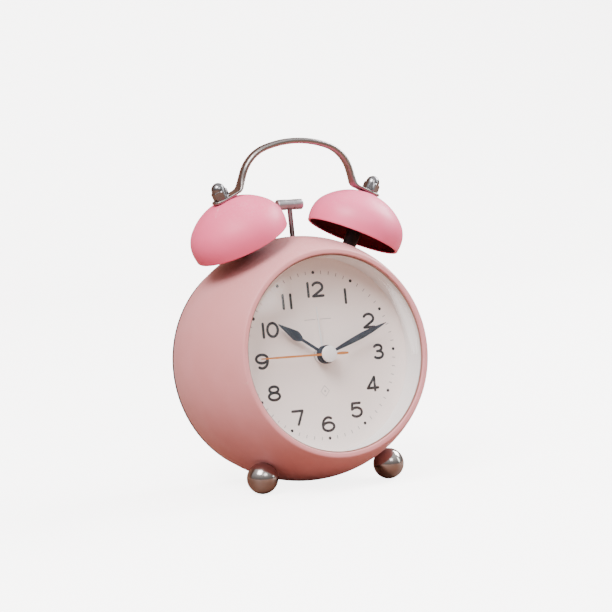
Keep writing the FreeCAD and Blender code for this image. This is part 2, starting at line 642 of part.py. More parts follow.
def carry_handle():
    """Bent strip: a crown arc, two shoulders, two straight legs and two flat ends under the nuts."""
    leg = math.radians(HANDLE_LEG_ANGLE)
    tilt = math.radians(BELL_TILT)
    turn = math.pi / 2 - leg
    reach = HANDLE_CROWN_ARC - HANDLE_SHOULDER_ARC
    drop = HANDLE_CROWN_HEIGHT - HANDLE_CROWN_ARC + HANDLE_SHOULDER_ARC * math.cos(turn)
    # The shoulder starts where its end lands on the line of the straight leg.
    wanted = (HANDLE_LEG_POINT[0] + (HANDLE_LEG_POINT[1] - drop) * math.tan(leg)
              - HANDLE_SHOULDER_ARC * math.sin(turn))
    start = math.asin(wanted / (reach / math.cos(leg))) - leg
    crown_z = HANDLE_CROWN_HEIGHT - HANDLE_CROWN_ARC
    shoulder = (reach * math.sin(start), crown_z + reach * math.cos(start))

    def on_crown(angle):
        return Vector(HANDLE_CROWN_ARC * math.sin(angle), 0,
                      crown_z + HANDLE_CROWN_ARC * math.cos(angle))

    def on_shoulder(angle):
        return Vector(shoulder[0] + HANDLE_SHOULDER_ARC * math.sin(angle), 0,
                      shoulder[1] + HANDLE_SHOULDER_ARC * math.cos(angle))

    leg_way = Vector(math.sin(leg), 0, -math.cos(leg))
    tab_way = Vector(math.cos(tilt), 0, -math.sin(tilt))
    middle_height = BELL_HEIGHT + TAB_THICKNESS / 2
    nut_point = Vector(BELL_CENTRE[0] + middle_height * math.sin(tilt), 0,
                       middle_height * math.cos(tilt))
    leg_start = on_shoulder(turn)
    span = nut_point - leg_start
    leg_length = (span.x * tab_way.z - span.z * tab_way.x) / (leg_way.x * tab_way.z
                                                              - leg_way.z * tab_way.x)
    corner = leg_start + leg_way * leg_length
    bend = leg_way.getAngle(tab_way)
    setback = HANDLE_BEND_ARC * math.tan(bend / 2)
    bend_start = corner - leg_way * setback
    bend_end = corner + tab_way * setback
    middle_way = (leg_way + tab_way).normalize()
    inward = (tab_way - leg_way).normalize()
    bend_middle = corner + inward * (HANDLE_BEND_ARC / math.cos(bend / 2) - HANDLE_BEND_ARC)

    half_edges = [Part.Arc(on_crown(0), on_crown(start / 2), on_crown(start)).toShape(),
                  Part.Arc(on_shoulder(start), on_shoulder((start + turn) / 2),
                           on_shoulder(turn)).toShape(),
                  Part.makeLine(leg_start, bend_start),
                  Part.Arc(bend_start, bend_middle, bend_end).toShape(),
                  Part.makeLine(bend_end, bend_end + tab_way * 0.4)]
    path = Part.Wire(half_edges)
    section = stadium(HANDLE_WIDTH, HANDLE_THICKNESS, on_crown(0), Vector(1, 0, 0))
    half = path.makePipeShell([section], True, False, 0)
    half_tab = TAB_THICKNESS / 2
    tab_length = 3.4 + (nut_point - bend_end).Length
    tab = Part.makeBox(tab_length - 2.8, 5.6, TAB_THICKNESS, Vector(2.8 - tab_length, -2.8, -half_tab))
    tab_end = upright(2.8, -half_tab, half_tab)
    tab = join([tab, tab_end]).cut(upright(STUD_RADIUS, -2, 2))
    own = FreeCAD.Placement(nut_point, FreeCAD.Rotation(FRONT_TO_BACK, BELL_TILT))
    half = trim_strip(half, bend_end, tab_way)
    right = join([half, moved(tab, own)])
    mirror = FreeCAD.Matrix()
    mirror.A11 = -1
    left = right.transformGeometry(mirror)
    return moved(join([left, right]), bell_plane())


def trim_strip(strip, bend_end, tab_way):
    """Remove what the thick strip would put below the flat tab."""
    below = Part.makeBox(12, 10, 6, Vector(-6, -5, -6 - TAB_THICKNESS / 2))
    return strip.cut(moved(below, FreeCAD.Placement(
        bend_end, FreeCAD.Rotation(FRONT_TO_BACK, BELL_TILT))))


# ---------------------------------------------------------------- hammer and its electric striker
def hammer_arm():
    shaft = between(Vector(0, HAMMER_Y, HAMMER_PIVOT_Z + 1), Vector(0, HAMMER_Y, HAMMER_HEAD_Z),
                    HAMMER_ROD_RADIUS)
    pivot = (0, HAMMER_PIVOT_Z)
    tail = block((-1, 1), (HAMMER_Y - 1, HAMMER_Y + 1), (28.2, HAMMER_PIVOT_Z))
    arm = join([shaft, rod(2.0, HAMMER_Y - 2.5, HAMMER_Y + 2.5, pivot), tail])
    return arm.cut(rod(0.9 + RUNNING, 20, 35, pivot))


def hammer_head():
    """Short cylinder across the rod, with two shallow grooves near its middle."""
    half = HAMMER_HEAD_LENGTH / 2
    radius = HAMMER_HEAD_RADIUS
    groove_start = 1.15
    groove_end = 1.5
    groove = radius - 0.2
    half_outline = [(0, half), (radius - 0.25, half), (radius, half - 0.25), (radius, groove_end),
                    (groove, groove_end), (groove, groove_start), (radius, groove_start)]
    other_half = [(r, -x) for r, x in reversed(half_outline)]
    head = turned_corners(half_outline + other_half)
    head.rotate(Vector(0, 0, 0), Vector(0, 0, 1), -90)
    head.translate(Vector(0, HAMMER_Y, HAMMER_HEAD_Z))
    bore = between(Vector(0, HAMMER_Y, HAMMER_HEAD_Z - 5), Vector(0, HAMMER_Y, HAMMER_HEAD_Z),
                   HAMMER_ROD_RADIUS)
    return head.cut(bore)


def striker_magnet():
    return block((-1.5, 1.5), (HAMMER_Y - 2, HAMMER_Y + 2), (24.4, 28.2))


def centring_spring():
    """Closely wound spring round the hammer's hub, with two legs either side of its rod."""
    wire = 0.25
    radius = 2.6
    turns = [Part.makeTorus(radius, wire, Vector(0, HAMMER_Y - 2.2 + 0.45 * turn, HAMMER_PIVOT_Z),
                            FRONT_TO_BACK) for turn in range(3)]
    legs = [between(Vector(side * radius, HAMMER_Y - 1.75, HAMMER_PIVOT_Z),
                    Vector(side * radius, HAMMER_Y, HAMMER_PIVOT_Z + 5.5), wire)
            for side in (-1, 1)]
    return join(turns + legs)


def striker_pivot():
    reach = BRACKET_HALF_DEPTH + 0.3
    return rod(0.9, HAMMER_Y - reach, HAMMER_Y + reach, (0, HAMMER_PIVOT_Z))


def striker_bracket():
    front_y = HAMMER_Y - BRACKET_HALF_DEPTH
    back_y = HAMMER_Y + BRACKET_HALF_DEPTH
    floor = block((-11, 11), (front_y, back_y), (18.1, 18.9))
    front = rounded_block((-4, 4), (front_y, front_y + 0.8), (18.1, 36.2), 0.5)
    back = rounded_block((-11, 11), (back_y - 0.8, back_y), (18.1, 36.2), 1.5)
    return join([floor, front, back]).cut(rod(0.9, front_y - 1.5, back_y + 1.5, (0, HAMMER_PIVOT_Z)))


def striker_core():
    depth = (HAMMER_Y - 1.5, HAMMER_Y + 1.5)
    pieces = [block((-8.4, 8.4), depth, (18.9, 20.9))]
    for side in (-1, 1):
        pieces.append(block(sorted((side * 6.4, side * 8.4)), depth, (20.9, 27.6)))
        pieces.append(block(sorted((side * 3.9, side * 8.4)), depth, (25.2, 27.6)))
    return join(pieces)


def striker_bobbins():
    bobbins = []
    for side in (-1, 1):
        middle = Vector(side * 7.4, HAMMER_Y, 0)
        tube_part = Part.makeCylinder(2.1, 4.1, middle + Vector(0, 0, 21.0))
        low = Part.makeCylinder(3.0, 0.4, middle + Vector(0, 0, 21.0))
        high = Part.makeCylinder(3.0, 0.4, middle + Vector(0, 0, 24.7))
        core_hole = block(sorted((side * 6.4, side * 8.4)), (HAMMER_Y - 1.5, HAMMER_Y + 1.5), (20, 26))
        bobbins.append(join([tube_part, low, high]).cut(core_hole))
    return Part.makeCompound(bobbins)


def striker_windings():
    windings = []
    for side in (-1, 1):
        middle = Vector(side * 7.4, HAMMER_Y, 21.4)
        outer = Part.makeCylinder(2.8, 3.3, middle)
        windings.append(outer.cut(Part.makeCylinder(2.1, 3.3, middle)))
    return Part.makeCompound(windings)


# ---------------------------------------------------------------- feet
def foot_balls():
    balls = []
    for side in (-1, 1):
        ball = Part.makeSphere(FOOT_RADIUS, foot_point(side, FOOT_STANDOFF))
        above_flat = between(foot_point(side, -FOOT_RADIUS), foot_point(side, FOOT_FLAT_GAP), FOOT_RADIUS)
        stud_hole = between(foot_point(side, -1), foot_point(side, FOOT_STANDOFF), STUD_RADIUS)
        balls.append(ball.cut([above_flat, stud_hole]))
    return Part.makeCompound(balls)


def foot_screws():
    return Part.makeCompound([between(foot_point(side, -6), foot_point(side, FOOT_STANDOFF),
                                      STUD_RADIUS) for side in (-1, 1)])


# ---------------------------------------------------------------- movement box
def movement_front_housing():
    half = MOVEMENT_HALF_WIDTH
    outside = rounded_block((-half, half), (MOVEMENT_FRONT_Y, MOVEMENT_SPLIT_Y),
                            (MOVEMENT_BOTTOM_Z, MOVEMENT_TOP_Z), 2.0)
    floor = MOVEMENT_FRONT_Y + MOULDING
    inside = block((MOULDING - half, half - MOULDING), (floor, MOVEMENT_SPLIT_Y + 1),
                   (MOVEMENT_BOTTOM_Z + MOULDING, MOVEMENT_TOP_Z - MOULDING))
    box = outside.cut(inside)
    posts = [rod(1.2, floor - 0.5, MOVEMENT_SPLIT_Y, (x, z)) for x in (-22.2, 22.2) for z in (-13, 15.2)]
    box = join([box] + posts)
    holes = [rod(ALARM_PIPE_RADIUS + RUNNING, 12, 16),
             rod(SMALL_ARBOR_RADIUS + RUNNING, 12, 16, MOTION_PLACE),
             rod(SMALL_ARBOR_RADIUS + RUNNING, 12, 16, THIRD_PLACE),
             rod(SETTING_ARBOR_RADIUS + RUNNING, 12, 16, TIME_SETTING_PLACE),
             rod(SETTING_ARBOR_RADIUS + RUNNING, 12, 16, ALARM_SETTING_PLACE)]
    return box.cut(holes)


def movement_middle_plate():
    plate = block((-23.5, 23.5), (MOVEMENT_SPLIT_Y, MIDDLE_PLATE_BACK_Y), (-14.5, 16.5))
    holes = [rod(0.8, 20, 24),
             rod(SMALL_ARBOR_RADIUS + RUNNING, 20, 24, MOTION_PLACE),
             rod(SMALL_ARBOR_RADIUS + RUNNING, 20, 24, THIRD_PLACE),
             rod(SMALL_ARBOR_RADIUS + RUNNING, 20, 24, INTERMEDIATE_PLACE),
             rod(SMALL_ARBOR_RADIUS + RUNNING, 20, 24, ROTOR_PLACE),
             rod(SETTING_ARBOR_RADIUS + RUNNING, 20, 24, TIME_SETTING_PLACE),
             rod(SETTING_ARBOR_RADIUS + RUNNING, 20, 24, ALARM_SETTING_PLACE)]
    return plate.cut(holes)


def movement_rear_housing():
    half = MOVEMENT_HALF_WIDTH
    outside = rounded_block((-half, half), (MOVEMENT_SPLIT_Y, MOVEMENT_BACK_Y),
                            (MOVEMENT_BOTTOM_Z, MOVEMENT_TOP_Z), 2.0)
    ceiling = MOVEMENT_BACK_Y - 1
    inside = block((MOULDING - half, half - MOULDING), (MOVEMENT_SPLIT_Y - 1, ceiling),
                   (MOVEMENT_BOTTOM_Z + MOULDING, MOVEMENT_TOP_Z - MOULDING))
    box = outside.cut(inside)
    pegs = [rod(1.5, 25.5, ceiling + 0.5, place)
            for place in ((-8.2, -9.8), (18.2, -9.8), (-18, -20), (-18, -1))]
    box = join([box] + pegs)
    holes = [rod(SECOND_ARBOR_RADIUS + RUNNING, 26, 30),
             rod(SMALL_ARBOR_RADIUS + RUNNING, 26, 30, INTERMEDIATE_PLACE),
             rod(SMALL_ARBOR_RADIUS + RUNNING, 26, 30, ROTOR_PLACE),
             rod(SETTING_ARBOR_RADIUS + RUNNING, 26, 30, TIME_SETTING_PLACE),
             rod(SETTING_ARBOR_RADIUS + RUNNING, 26, 30, ALARM_SETTING_PLACE)]
    return box.cut(holes)


def circuit_board():
    board = block((-23.4, -12), (24.5, 25.5), (-23, 2))
    chip = rod(2.6, 23.7, 24.5, (-18, -16))
    chip = chip.makeFillet(0.5, [chip.Edges[2]])
    return join([board, chip])


def quartz_crystal():
    return Part.makeCylinder(1.0, 6.0, Vector(-16, 23.5, -9))


def stator():
    depth = (24.7, 25.5)
    pieces = [block((-10, 20), depth, (-13.4, -6.2)), block((-10, -6.5), depth, (-22, -13.4)),
              block((16.5, 20), depth, (-22, -13.4)), block((-10, 20), depth, (-22, -19.5))]
    return join(pieces).cut([rod(2.5, 24, 26, ROTOR_PLACE), rod(1.2, 24, 26, INTERMEDIATE_PLACE)])


def along_x(radius, start, end):
    """Cylinder along X round the core of the motor coil."""
    return Part.makeCylinder(radius, end - start, Vector(start, 25.1, -20.75), Vector(1, 0, 0))


def coil_bobbin():
    core_hole = block((-8, 18), (24.7, 25.5), (-22, -19.5))
    return join([along_x(1.9, -5.5, 15.5), along_x(2.75, -5.5, -4.7), along_x(2.75, 14.7, 15.5)]).cut(core_hole)


def coil_winding():
    return along_x(2.6, -4.7, 14.7).cut(along_x(1.9, -4.7, 14.7))


# ---------------------------------------------------------------- wheels and arbors
def rotor():
    return join([rod(0.4, 21.7, 28.7, ROTOR_PLACE), rod(2.0, 24.5, 25.7, ROTOR_PLACE),
                 gear(PINION_TEETH, ROTOR_MODULE, 23.6, 24.3, ROTOR_PLACE, ROTOR_PHASE)])


def intermediate_wheel():
    place = INTERMEDIATE_PLACE
    return join([rod(0.4, 21.7, 28.7, place),
                 gear(PINION_TEETH, SECOND_MODULE, 22.5, 23.3, place),
                 gear(INTERMEDIATE_TEETH, ROTOR_MODULE, 23.7, 24.2, place, INTERMEDIATE_PHASE, 0.6),
                 rod(1.0, 23.3, 24.4, place)])


def second_wheel():
    return join([rod(SECOND_ARBOR_RADIUS, 6.35, 28.7), rod(1.4, 22.4, 23.5),
                 gear(PINION_TEETH, THIRD_MODULE, 20.5, 21.3),
                 gear(SECOND_TEETH, SECOND_MODULE, 22.6, 23.2, CENTRE, SECOND_WHEEL_PHASE, 0.6)])


def third_wheel():
    place = THIRD_PLACE
    return join([rod(SMALL_ARBOR_RADIUS, 13.6, MIDDLE_PLATE_BACK_Y, place),
                 gear(PINION_TEETH, CENTRE_MODULE, 19.1, 20.0, place),
                 gear(THIRD_TEETH, THIRD_MODULE, 20.6, 21.2, place, THIRD_WHEEL_PHASE, 0.6)])


def centre_wheel():
    wheel = gear(CENTRE_TEETH, CENTRE_MODULE, 19.2, 19.9, CENTRE, CENTRE_WHEEL_PHASE, 0.6)
    hub = rod(2.0, 18.9, 20.2)
    return join([wheel, hub]).cut(rod(MINUTE_PIPE_RADIUS + 0.04, 18, 21))


def minute_pipe():
    pipe = rod(MINUTE_PIPE_RADIUS, MINUTE_HAND_Y, 20.4)
    solid = join([pipe, gear(PINION_TEETH, MOTION_MODULE, 17.5, 18.5)])
    return solid.cut(rod(SECOND_ARBOR_RADIUS + RUNNING, 7, 22))


def motion_wheel():
    place = MOTION_PLACE
    return join([rod(SMALL_ARBOR_RADIUS, 13.6, MIDDLE_PLATE_BACK_Y, place),
                 gear(PINION_TEETH, HOUR_MODULE, 16.2, 17.3, place),
                 gear(MOTION_TEETH, MOTION_MODULE, 17.6, 18.4, place, MOTION_WHEEL_PHASE, 0.7),
                 rod(1.3, 17.2, 17.7, place)])


def hour_wheel():
    wheel = gear(HOUR_TEETH, HOUR_MODULE, 16.3, 17.1, CENTRE, HOUR_WHEEL_PHASE, 0.6)
    return join([wheel, rod(HOUR_PIPE_RADIUS, HOUR_HAND_Y, 17.1)]).cut(rod(MINUTE_PIPE_RADIUS + RUNNING, 9, 18))


def alarm_wheel():
    wheel = gear(ALARM_TEETH, ALARM_MODULE, 15.0, 15.8)
    return join([wheel, rod(ALARM_PIPE_RADIUS, ALARM_HAND_Y, 15.8)]).cut(rod(HOUR_PIPE_RADIUS + RUNNING, 9, 18))


def setting_arbor(place):
    """Round shaft from the movement's front plate to its knob on the back."""
    return rod(SETTING_ARBOR_RADIUS, 13.6, KNOB_FRONT_Y + KNOB_LENGTH - 1, place)


def time_setting_arbor():
    place = TIME_SETTING_PLACE
    return join([setting_arbor(place),
                 gear(SETTING_TEETH, MOTION_MODULE, 17.5, 18.5, place, SETTING_PHASE)])


def alarm_setting_arbor():
    place = ALARM_SETTING_PLACE
    return join([setting_arbor(place),
                 gear(ALARM_TEETH, ALARM_MODULE, 15.0, 15.8, place, ALARM_SETTING_PHASE)])


def setting_knob(place):
    """Round knob with a fluted edge."""
    back = KNOB_FRONT_Y + KNOB_LENGTH
    body = rod(KNOB_RADIUS, KNOB_FRONT_Y, back, place)
    body = body.makeChamfer(0.4, [edge for edge in body.Edges if edge.Length > 30])
    flutes = [rod(0.35, KNOB_FRONT_Y - 1, back + 1, beside(place, KNOB_RADIUS, 360 * step / 24))
              for step in range(24)]
    bore = rod(SETTING_ARBOR_RADIUS, KNOB_FRONT_Y - 1, back - 1, place)
    return body.cut(flutes + [bore])


def alarm_switch():
    thumb = rounded_block((SWITCH_X - 2.5, SWITCH_X + 2.5), (49.1, 50.9), (SWITCH_Z - 3, SWITCH_Z + 3), 0.6)
    stem = block((SWITCH_X - 2, SWITCH_X + 2), (46.0, 49.5), (SWITCH_Z - 1, SWITCH_Z + 1))
    slider = block((SWITCH_X - 3.2, SWITCH_X + 3.2), (45.0, 46.8), (SWITCH_Z - 3, SWITCH_Z + 3))
    ribs = [block((SWITCH_X + x - 0.3, SWITCH_X + x + 0.3), (50.5, 52), (SWITCH_Z - 2.4, SWITCH_Z + 2.4))
            for x in (-1.4, 0, 1.4)]
    return join([thumb, stem, slider]).cut(ribs)


# ---------------------------------------------------------------- battery
def battery_cell():
    end = CELL_NUB_X + CELL_LENGTH
    nub = Part.makeCylinder(2.7, 1.2, Vector(CELL_NUB_X, CELL_Y, CELL_Z), Vector(1, 0, 0))
    can = Part.makeCylinder(CELL_RADIUS, end - CELL_NUB_X - 1, Vector(CELL_NUB_X + 1, CELL_Y, CELL_Z),
                            Vector(1, 0, 0))
    can = can.makeFillet(0.6, [edge for edge in can.Edges if edge.Curve.TypeId == 'Part::GeomCircle'])
    return join([can, nub])


def battery_contacts():
    depth = (CELL_Y - 5, CELL_Y + 5)
    height = (CELL_Z - 5, CELL_Z + 5)
    return Part.makeCompound([block((-BAY_HALF_WIDTH, CELL_NUB_X), depth, height),
                              block((BAY_HALF_WIDTH - 0.5, BAY_HALF_WIDTH), depth, height)])


def battery_spring():
    """Conical contact spring squeezed flat: three rings of wire joined by short slanting links."""
    wire = 0.35
    start = CELL_NUB_X + CELL_LENGTH + wire
    step = (BAY_HALF_WIDTH - 0.5 - wire - start) / 2
    turns = [(2.2 + 1.0 * turn, start + step * turn) for turn in range(3)]
    rings = [Part.makeTorus(radius, wire, Vector(x, CELL_Y, CELL_Z), Vector(1, 0, 0))
             for radius, x in turns]
    links = [between(Vector(inner[1], CELL_Y + inner[0], CELL_Z),
                     Vector(outer[1], CELL_Y + outer[0], CELL_Z), wire * 0.8)
             for inner, outer in zip(turns, turns[1:])]
    return join(rings + links)


# ---------------------------------------------------------------- the clock
def pieces():
    """Every node of the clock by name, drawn upright."""
    return {
        "case_shell": case_shell(),
        "inner_frame": inner_frame(),
        "rear_cover": rear_cover(),
        "rear_cover_screws": rear_cover_screws(),
        "battery_door": battery_door(),
        "battery_cell": battery_cell(),
        "battery_contacts": battery_contacts(),
        "battery_spring": battery_spring(),
        "lens": lens(),
        "lens_gasket": lens_gasket(),
        "dial_surround": dial_surround(),
        "dial_plate": dial_plate(),
        "hour_hand": hour_hand(),
        "minute_hand": minute_hand(),
        "second_hand": second_hand(),
        "alarm_hand": alarm_hand(),
        "hand_cap": hand_cap(),
        "bell_left": bell(-1),
        "bell_right": bell(1),
        "bell_posts": bell_posts(),
        "bell_spacers": bell_spacers(),
        "bell_washers": bell_washers(),
        "acorn_nuts": acorn_nuts(),
        "carry_handle": carry_handle(),
        "hammer_arm": hammer_arm(),
        "hammer_head": hammer_head(),
        "striker_magnet": striker_magnet(),
        "centring_spring": centring_spring(),
        "striker_pivot": striker_pivot(),
        "striker_bracket": striker_bracket(),
        "striker_core": striker_core(),
        "striker_bobbins": striker_bobbins(),
        "striker_windings": striker_windings(),
        "foot_balls": foot_balls(),
        "foot_screws": foot_screws(),
        "movement_front_housing": movement_front_housing(),
        "movement_middle_plate": movement_middle_plate(),
        "movement_rear_housing": movement_rear_housing(),
        "circuit_board": circuit_board(),
        "quartz_crystal": quartz_crystal(),
        "stator": stator(),
        "coil_bobbin": coil_bobbin(),
        "coil_winding": coil_winding(),
        "rotor": rotor(),
        "intermediate_wheel": intermediate_wheel(),
        "second_wheel": second_wheel(),
        "third_wheel": third_wheel(),
        "centre_wheel": centre_wheel(),
        "minute_pipe": minute_pipe(),
        "motion_wheel": motion_wheel(),
        "hour_wheel": hour_wheel(),
        "alarm_wheel": alarm_wheel(),
        "time_setting_arbor": time_setting_arbor(),
        "alarm_setting_arbor": alarm_setting_arbor(),
        "time_setting_knob": setting_knob(TIME_SETTING_PLACE),
        "alarm_setting_knob": setting_knob(ALARM_SETTING_PLACE),
        "alarm_switch": alarm_switch(),
    }


def standing():
    """Placement that leans the upright clock back onto its feet, with the ground at Z = 0."""
    ball = foot_point(1, FOOT_STANDOFF)
    reach = math.hypot(COVER_BACK_Y - ball.y, -FLANGE_RADIUS - ball.z)
    lean = math.asin(FOOT_RADIUS / reach) + math.atan2(-FLANGE_RADIUS - ball.z, COVER_BACK_Y - ball.y)
    turn = FreeCAD.Rotation(Vector(1, 0, 0), -math.degrees(lean))
    lowest = turn.multVec(Vector(0, COVER_BACK_Y, -FLANGE_RADIUS)).z
    return FreeCAD.Placement(Vector(0, 0, -lowest), turn)


def standing_centred(solids):
    """The standing placement, shifted so that the clock's box is centred over the origin."""
    placement = standing()
    box = FreeCAD.BoundBox()
    for solid in solids:
        copy = moved(solid, placement)
        box.add(copy.optimalBoundingBox(False))
    shift = Vector(-(box.XMin + box.XMax) / 2, -(box.YMin + box.YMax) / 2, 0)
    return FreeCAD.Placement(placement.Base + shift, placement.Rotation)


def main():
    os.makedirs("parts", exist_ok=True)
    nodes = pieces()
    placement = standing_centred(nodes.values())
    for name, solid in nodes.items():
        finished = moved(solid, placement)
        finished.exportStep("parts/" + name + ".step")
        print(name, "valid" if finished.isValid() else "INVALID", len(finished.Solids), "solids")


if __name__ == "__main__":
    main()
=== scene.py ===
"""Twin-bell alarm clock: its visible meshes, finishes and studio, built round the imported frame."""

import json
import logging
import math
from collections.abc import Callable, Sequence
from dataclasses import dataclass, field
from enum import Enum
from typing import ClassVar

import bmesh
import bpy
from mathutils import Matrix, Vector


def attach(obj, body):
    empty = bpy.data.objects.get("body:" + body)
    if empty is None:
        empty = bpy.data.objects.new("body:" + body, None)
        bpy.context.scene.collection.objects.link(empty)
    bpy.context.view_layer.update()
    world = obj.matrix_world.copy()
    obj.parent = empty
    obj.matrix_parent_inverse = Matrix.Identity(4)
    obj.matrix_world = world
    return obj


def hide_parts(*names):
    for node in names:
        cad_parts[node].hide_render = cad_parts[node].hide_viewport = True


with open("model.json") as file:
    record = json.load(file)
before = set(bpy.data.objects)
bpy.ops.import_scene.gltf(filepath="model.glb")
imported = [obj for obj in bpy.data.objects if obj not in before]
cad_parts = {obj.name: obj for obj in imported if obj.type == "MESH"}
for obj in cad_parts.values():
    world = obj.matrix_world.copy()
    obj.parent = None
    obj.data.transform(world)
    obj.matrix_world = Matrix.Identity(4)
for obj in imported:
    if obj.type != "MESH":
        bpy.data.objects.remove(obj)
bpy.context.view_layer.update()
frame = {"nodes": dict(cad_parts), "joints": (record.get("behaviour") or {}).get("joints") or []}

logging.basicConfig(level=logging.INFO, format="%(name)s: %(message)s")
LOG = logging.getLogger("clock")

MM = 0.001
ARBOR_POINT_DEPTH = 0.020      # the hands' joint is stated this far behind the case's opening

Point = tuple[float, float]
Triple = tuple[float, float, float]
Colour = tuple[float, float, float]


# ------------------------------------------------------------------ placing
def clock_matrix() -> Matrix:
    """Matrix from the upright clock in millimetres to the leaning clock in the frame's metres.

    Returns:
        X to the right, Y from the opening to the back, Z up the dial.
    """
    joint = next(j for j in frame["joints"] if j["name"] == "minute_hand_turn")
    back = Vector(joint["axis"]).normalized()
    right = Vector((1.0, 0.0, 0.0))
    turn = Matrix((right, back, right.cross(back))).transposed().to_4x4()
    origin = Vector(joint["pos_m"]) - back * ARBOR_POINT_DEPTH
    return Matrix.Translation(origin) @ turn @ Matrix.Scale(MM, 4)


CLOCK = clock_matrix()


def turned_about(axis: str, degrees: float) -> Matrix:
    """Rotation about one of the upright clock's axes."""
    return Matrix.Rotation(math.radians(degrees), 4, axis)


# ------------------------------------------------------------------ node groups
class Socket(Enum):
    """Kinds of socket that a shared effect has."""

    VALUE = "NodeSocketFloat"
    VECTOR = "NodeSocketVector"


class Graph:
    """A node tree with short calls for adding and joining nodes."""

    def __init__(self, tree: bpy.types.NodeTree) -> None:
        """Wraps an existing node tree."""
        self.tree = tree

    def add(self, kind: str, **settings: object) -> bpy.types.Node:
        """Adds a node and sets its properties and unlinked inputs.

        Args:
            kind: Blender's name of the node's class.
            settings: properties by name, or inputs by name with spaces as underscores.

        Returns:
            The new node.
        """
        node = self.tree.nodes.new(kind)
        for key, value in settings.items():
            if hasattr(node, key):
                setattr(node, key, value)
            else:
                node.inputs[key.replace("_", " ")].default_value = value
        return node

    def link(self, source: bpy.types.NodeSocket, target: bpy.types.NodeSocket) -> None:
        """Joins an output to an input."""
        self.tree.links.new(source, target)

    def feed(self, value: object, target: bpy.types.NodeSocket) -> None:
        """Gives an input a socket, a number or a colour.

        Args:
            value: socket to join, or a plain value to set.
            target: the input.
        """
        if isinstance(value, bpy.types.NodeSocket):
            self.link(value, target)
        else:
            target.default_value = (*value, 1.0) if isinstance(value, tuple) else value

    def math(self, operation: str, first: object, second: object) -> bpy.types.NodeSocket:
        """Adds a Math node whose inputs are sockets or numbers.

        Args:
            operation: the Math node's operation.
            first: first socket or number.
            second: second socket or number.

        Returns:
            The node's output.
        """
        node = self.add("ShaderNodeMath", operation=operation)
        self.feed(first, node.inputs[0])
        self.feed(second, node.inputs[1])
        return node.outputs[0]

    def product(self, *factors: object) -> bpy.types.NodeSocket:
        """Multiplies sockets and numbers in turn."""
        result = factors[0]
        for factor in factors[1:]:
            result = self.math("MULTIPLY", result, factor)
        return result

    def place(self) -> bpy.types.NodeSocket:
        """Coordinates in the object's own space."""
        return self.add("ShaderNodeTexCoord").outputs["Object"]

    def noise(self, vector: bpy.types.NodeSocket, scale: object, detail: float) -> bpy.types.NodeSocket:
        """Adds a noise texture.

        Args:
            vector: coordinates.
            scale: socket or number of cells per unit.
            detail: octaves.

        Returns:
            The noise value.
        """
        node = self.add("ShaderNodeTexNoise", Detail=detail)
        self.link(vector, node.inputs["Vector"])
        self.feed(scale, node.inputs["Scale"])
        return node.outputs["Fac"]

    def mix(self, share: object, first: object, second: object) -> bpy.types.NodeSocket:
        """Mixes two colours.

        Args:
            share: socket or number from 0 to 1.
            first: colour or socket at 0.
            second: colour or socket at 1.

        Returns:
            The mixed colour.
        """
        node = self.add("ShaderNodeMix", data_type="RGBA")
        for key, value in ((0, share), (6, first), (7, second)):
            self.feed(value, node.inputs[key])
        return node.outputs[2]

    def ramp(self, value: bpy.types.NodeSocket, low: object, high: object) -> bpy.types.NodeSocket:
        """Maps a value's range between low and high smoothly onto 0 to 1."""
        node = self.add("ShaderNodeMapRange", interpolation_type="SMOOTHSTEP")
        for key, given in (("Value", value), ("From Min", low), ("From Max", high)):
            self.feed(given, node.inputs[key])
        return node.outputs["Result"]

    def part(self, vector: bpy.types.NodeSocket, axis: str) -> bpy.types.NodeSocket:
        """One component of a vector."""
        split = self.add("ShaderNodeSeparateXYZ")
        self.link(vector, split.inputs["Vector"])
        return split.outputs[axis]


class Effect:
    """A shared surface effect, built once as a node group and placed in each material."""

    def __init__(self, name: str, inputs: dict[str, float | Triple], outputs: Sequence[str],
                 build: Callable[[Graph, bpy.types.Node, bpy.types.Node], None]) -> None:
        """Makes the group's sockets and fills it.

        Args:
            name: name of the node group.
            inputs: default of each input, where three numbers make it a vector.
            outputs: name of each output, all of them values.
            build: function that joins the group's input node to its output node.
        """
        self.tree = bpy.data.node_groups.new(name, "ShaderNodeTree")
        for label, default in inputs.items():
            kind = Socket.VECTOR if isinstance(default, tuple) else Socket.VALUE
            socket = self.tree.interface.new_socket(label, in_out="INPUT", socket_type=kind.value)
            socket.default_value = default
        for label in outputs:
            self.tree.interface.new_socket(label, in_out="OUTPUT", socket_type=Socket.VALUE.value)
        graph = Graph(self.tree)
        build(graph, graph.add("NodeGroupInput"), graph.add("NodeGroupOutput"))

    def place(self, graph: Graph, **values: object) -> bpy.types.Node:
        """Puts the effect into a material's graph.

        Args:
            graph: the material's graph.
            values: the effect's inputs by name with spaces as underscores, as numbers or colours.

        Returns:
            The group node.
        """
        node = graph.add("ShaderNodeGroup", node_tree=self.tree)
        for key, value in values.items():
            node.inputs[key.replace("_", " ")].default_value = value
        return node


def build_grain(graph: Graph, inward: bpy.types.Node, outward: bpy.types.Node) -> None:
    """Fine surface grain over a slower swell: a height for bump and a mask for roughness."""
    place = graph.place()
    fine = graph.noise(place, inward.outputs["Grain Scale"], 3.0)
    slow = graph.noise(place, inward.outputs["Swell Scale"], 1.0)
    height = graph.math("ADD", graph.product(fine, inward.outputs["Grain Depth"]),
                        graph.product(slow, inward.outputs["Swell Depth"]))
    graph.link(height, outward.inputs["Height"])
    graph.link(fine, outward.inputs["Mask"])


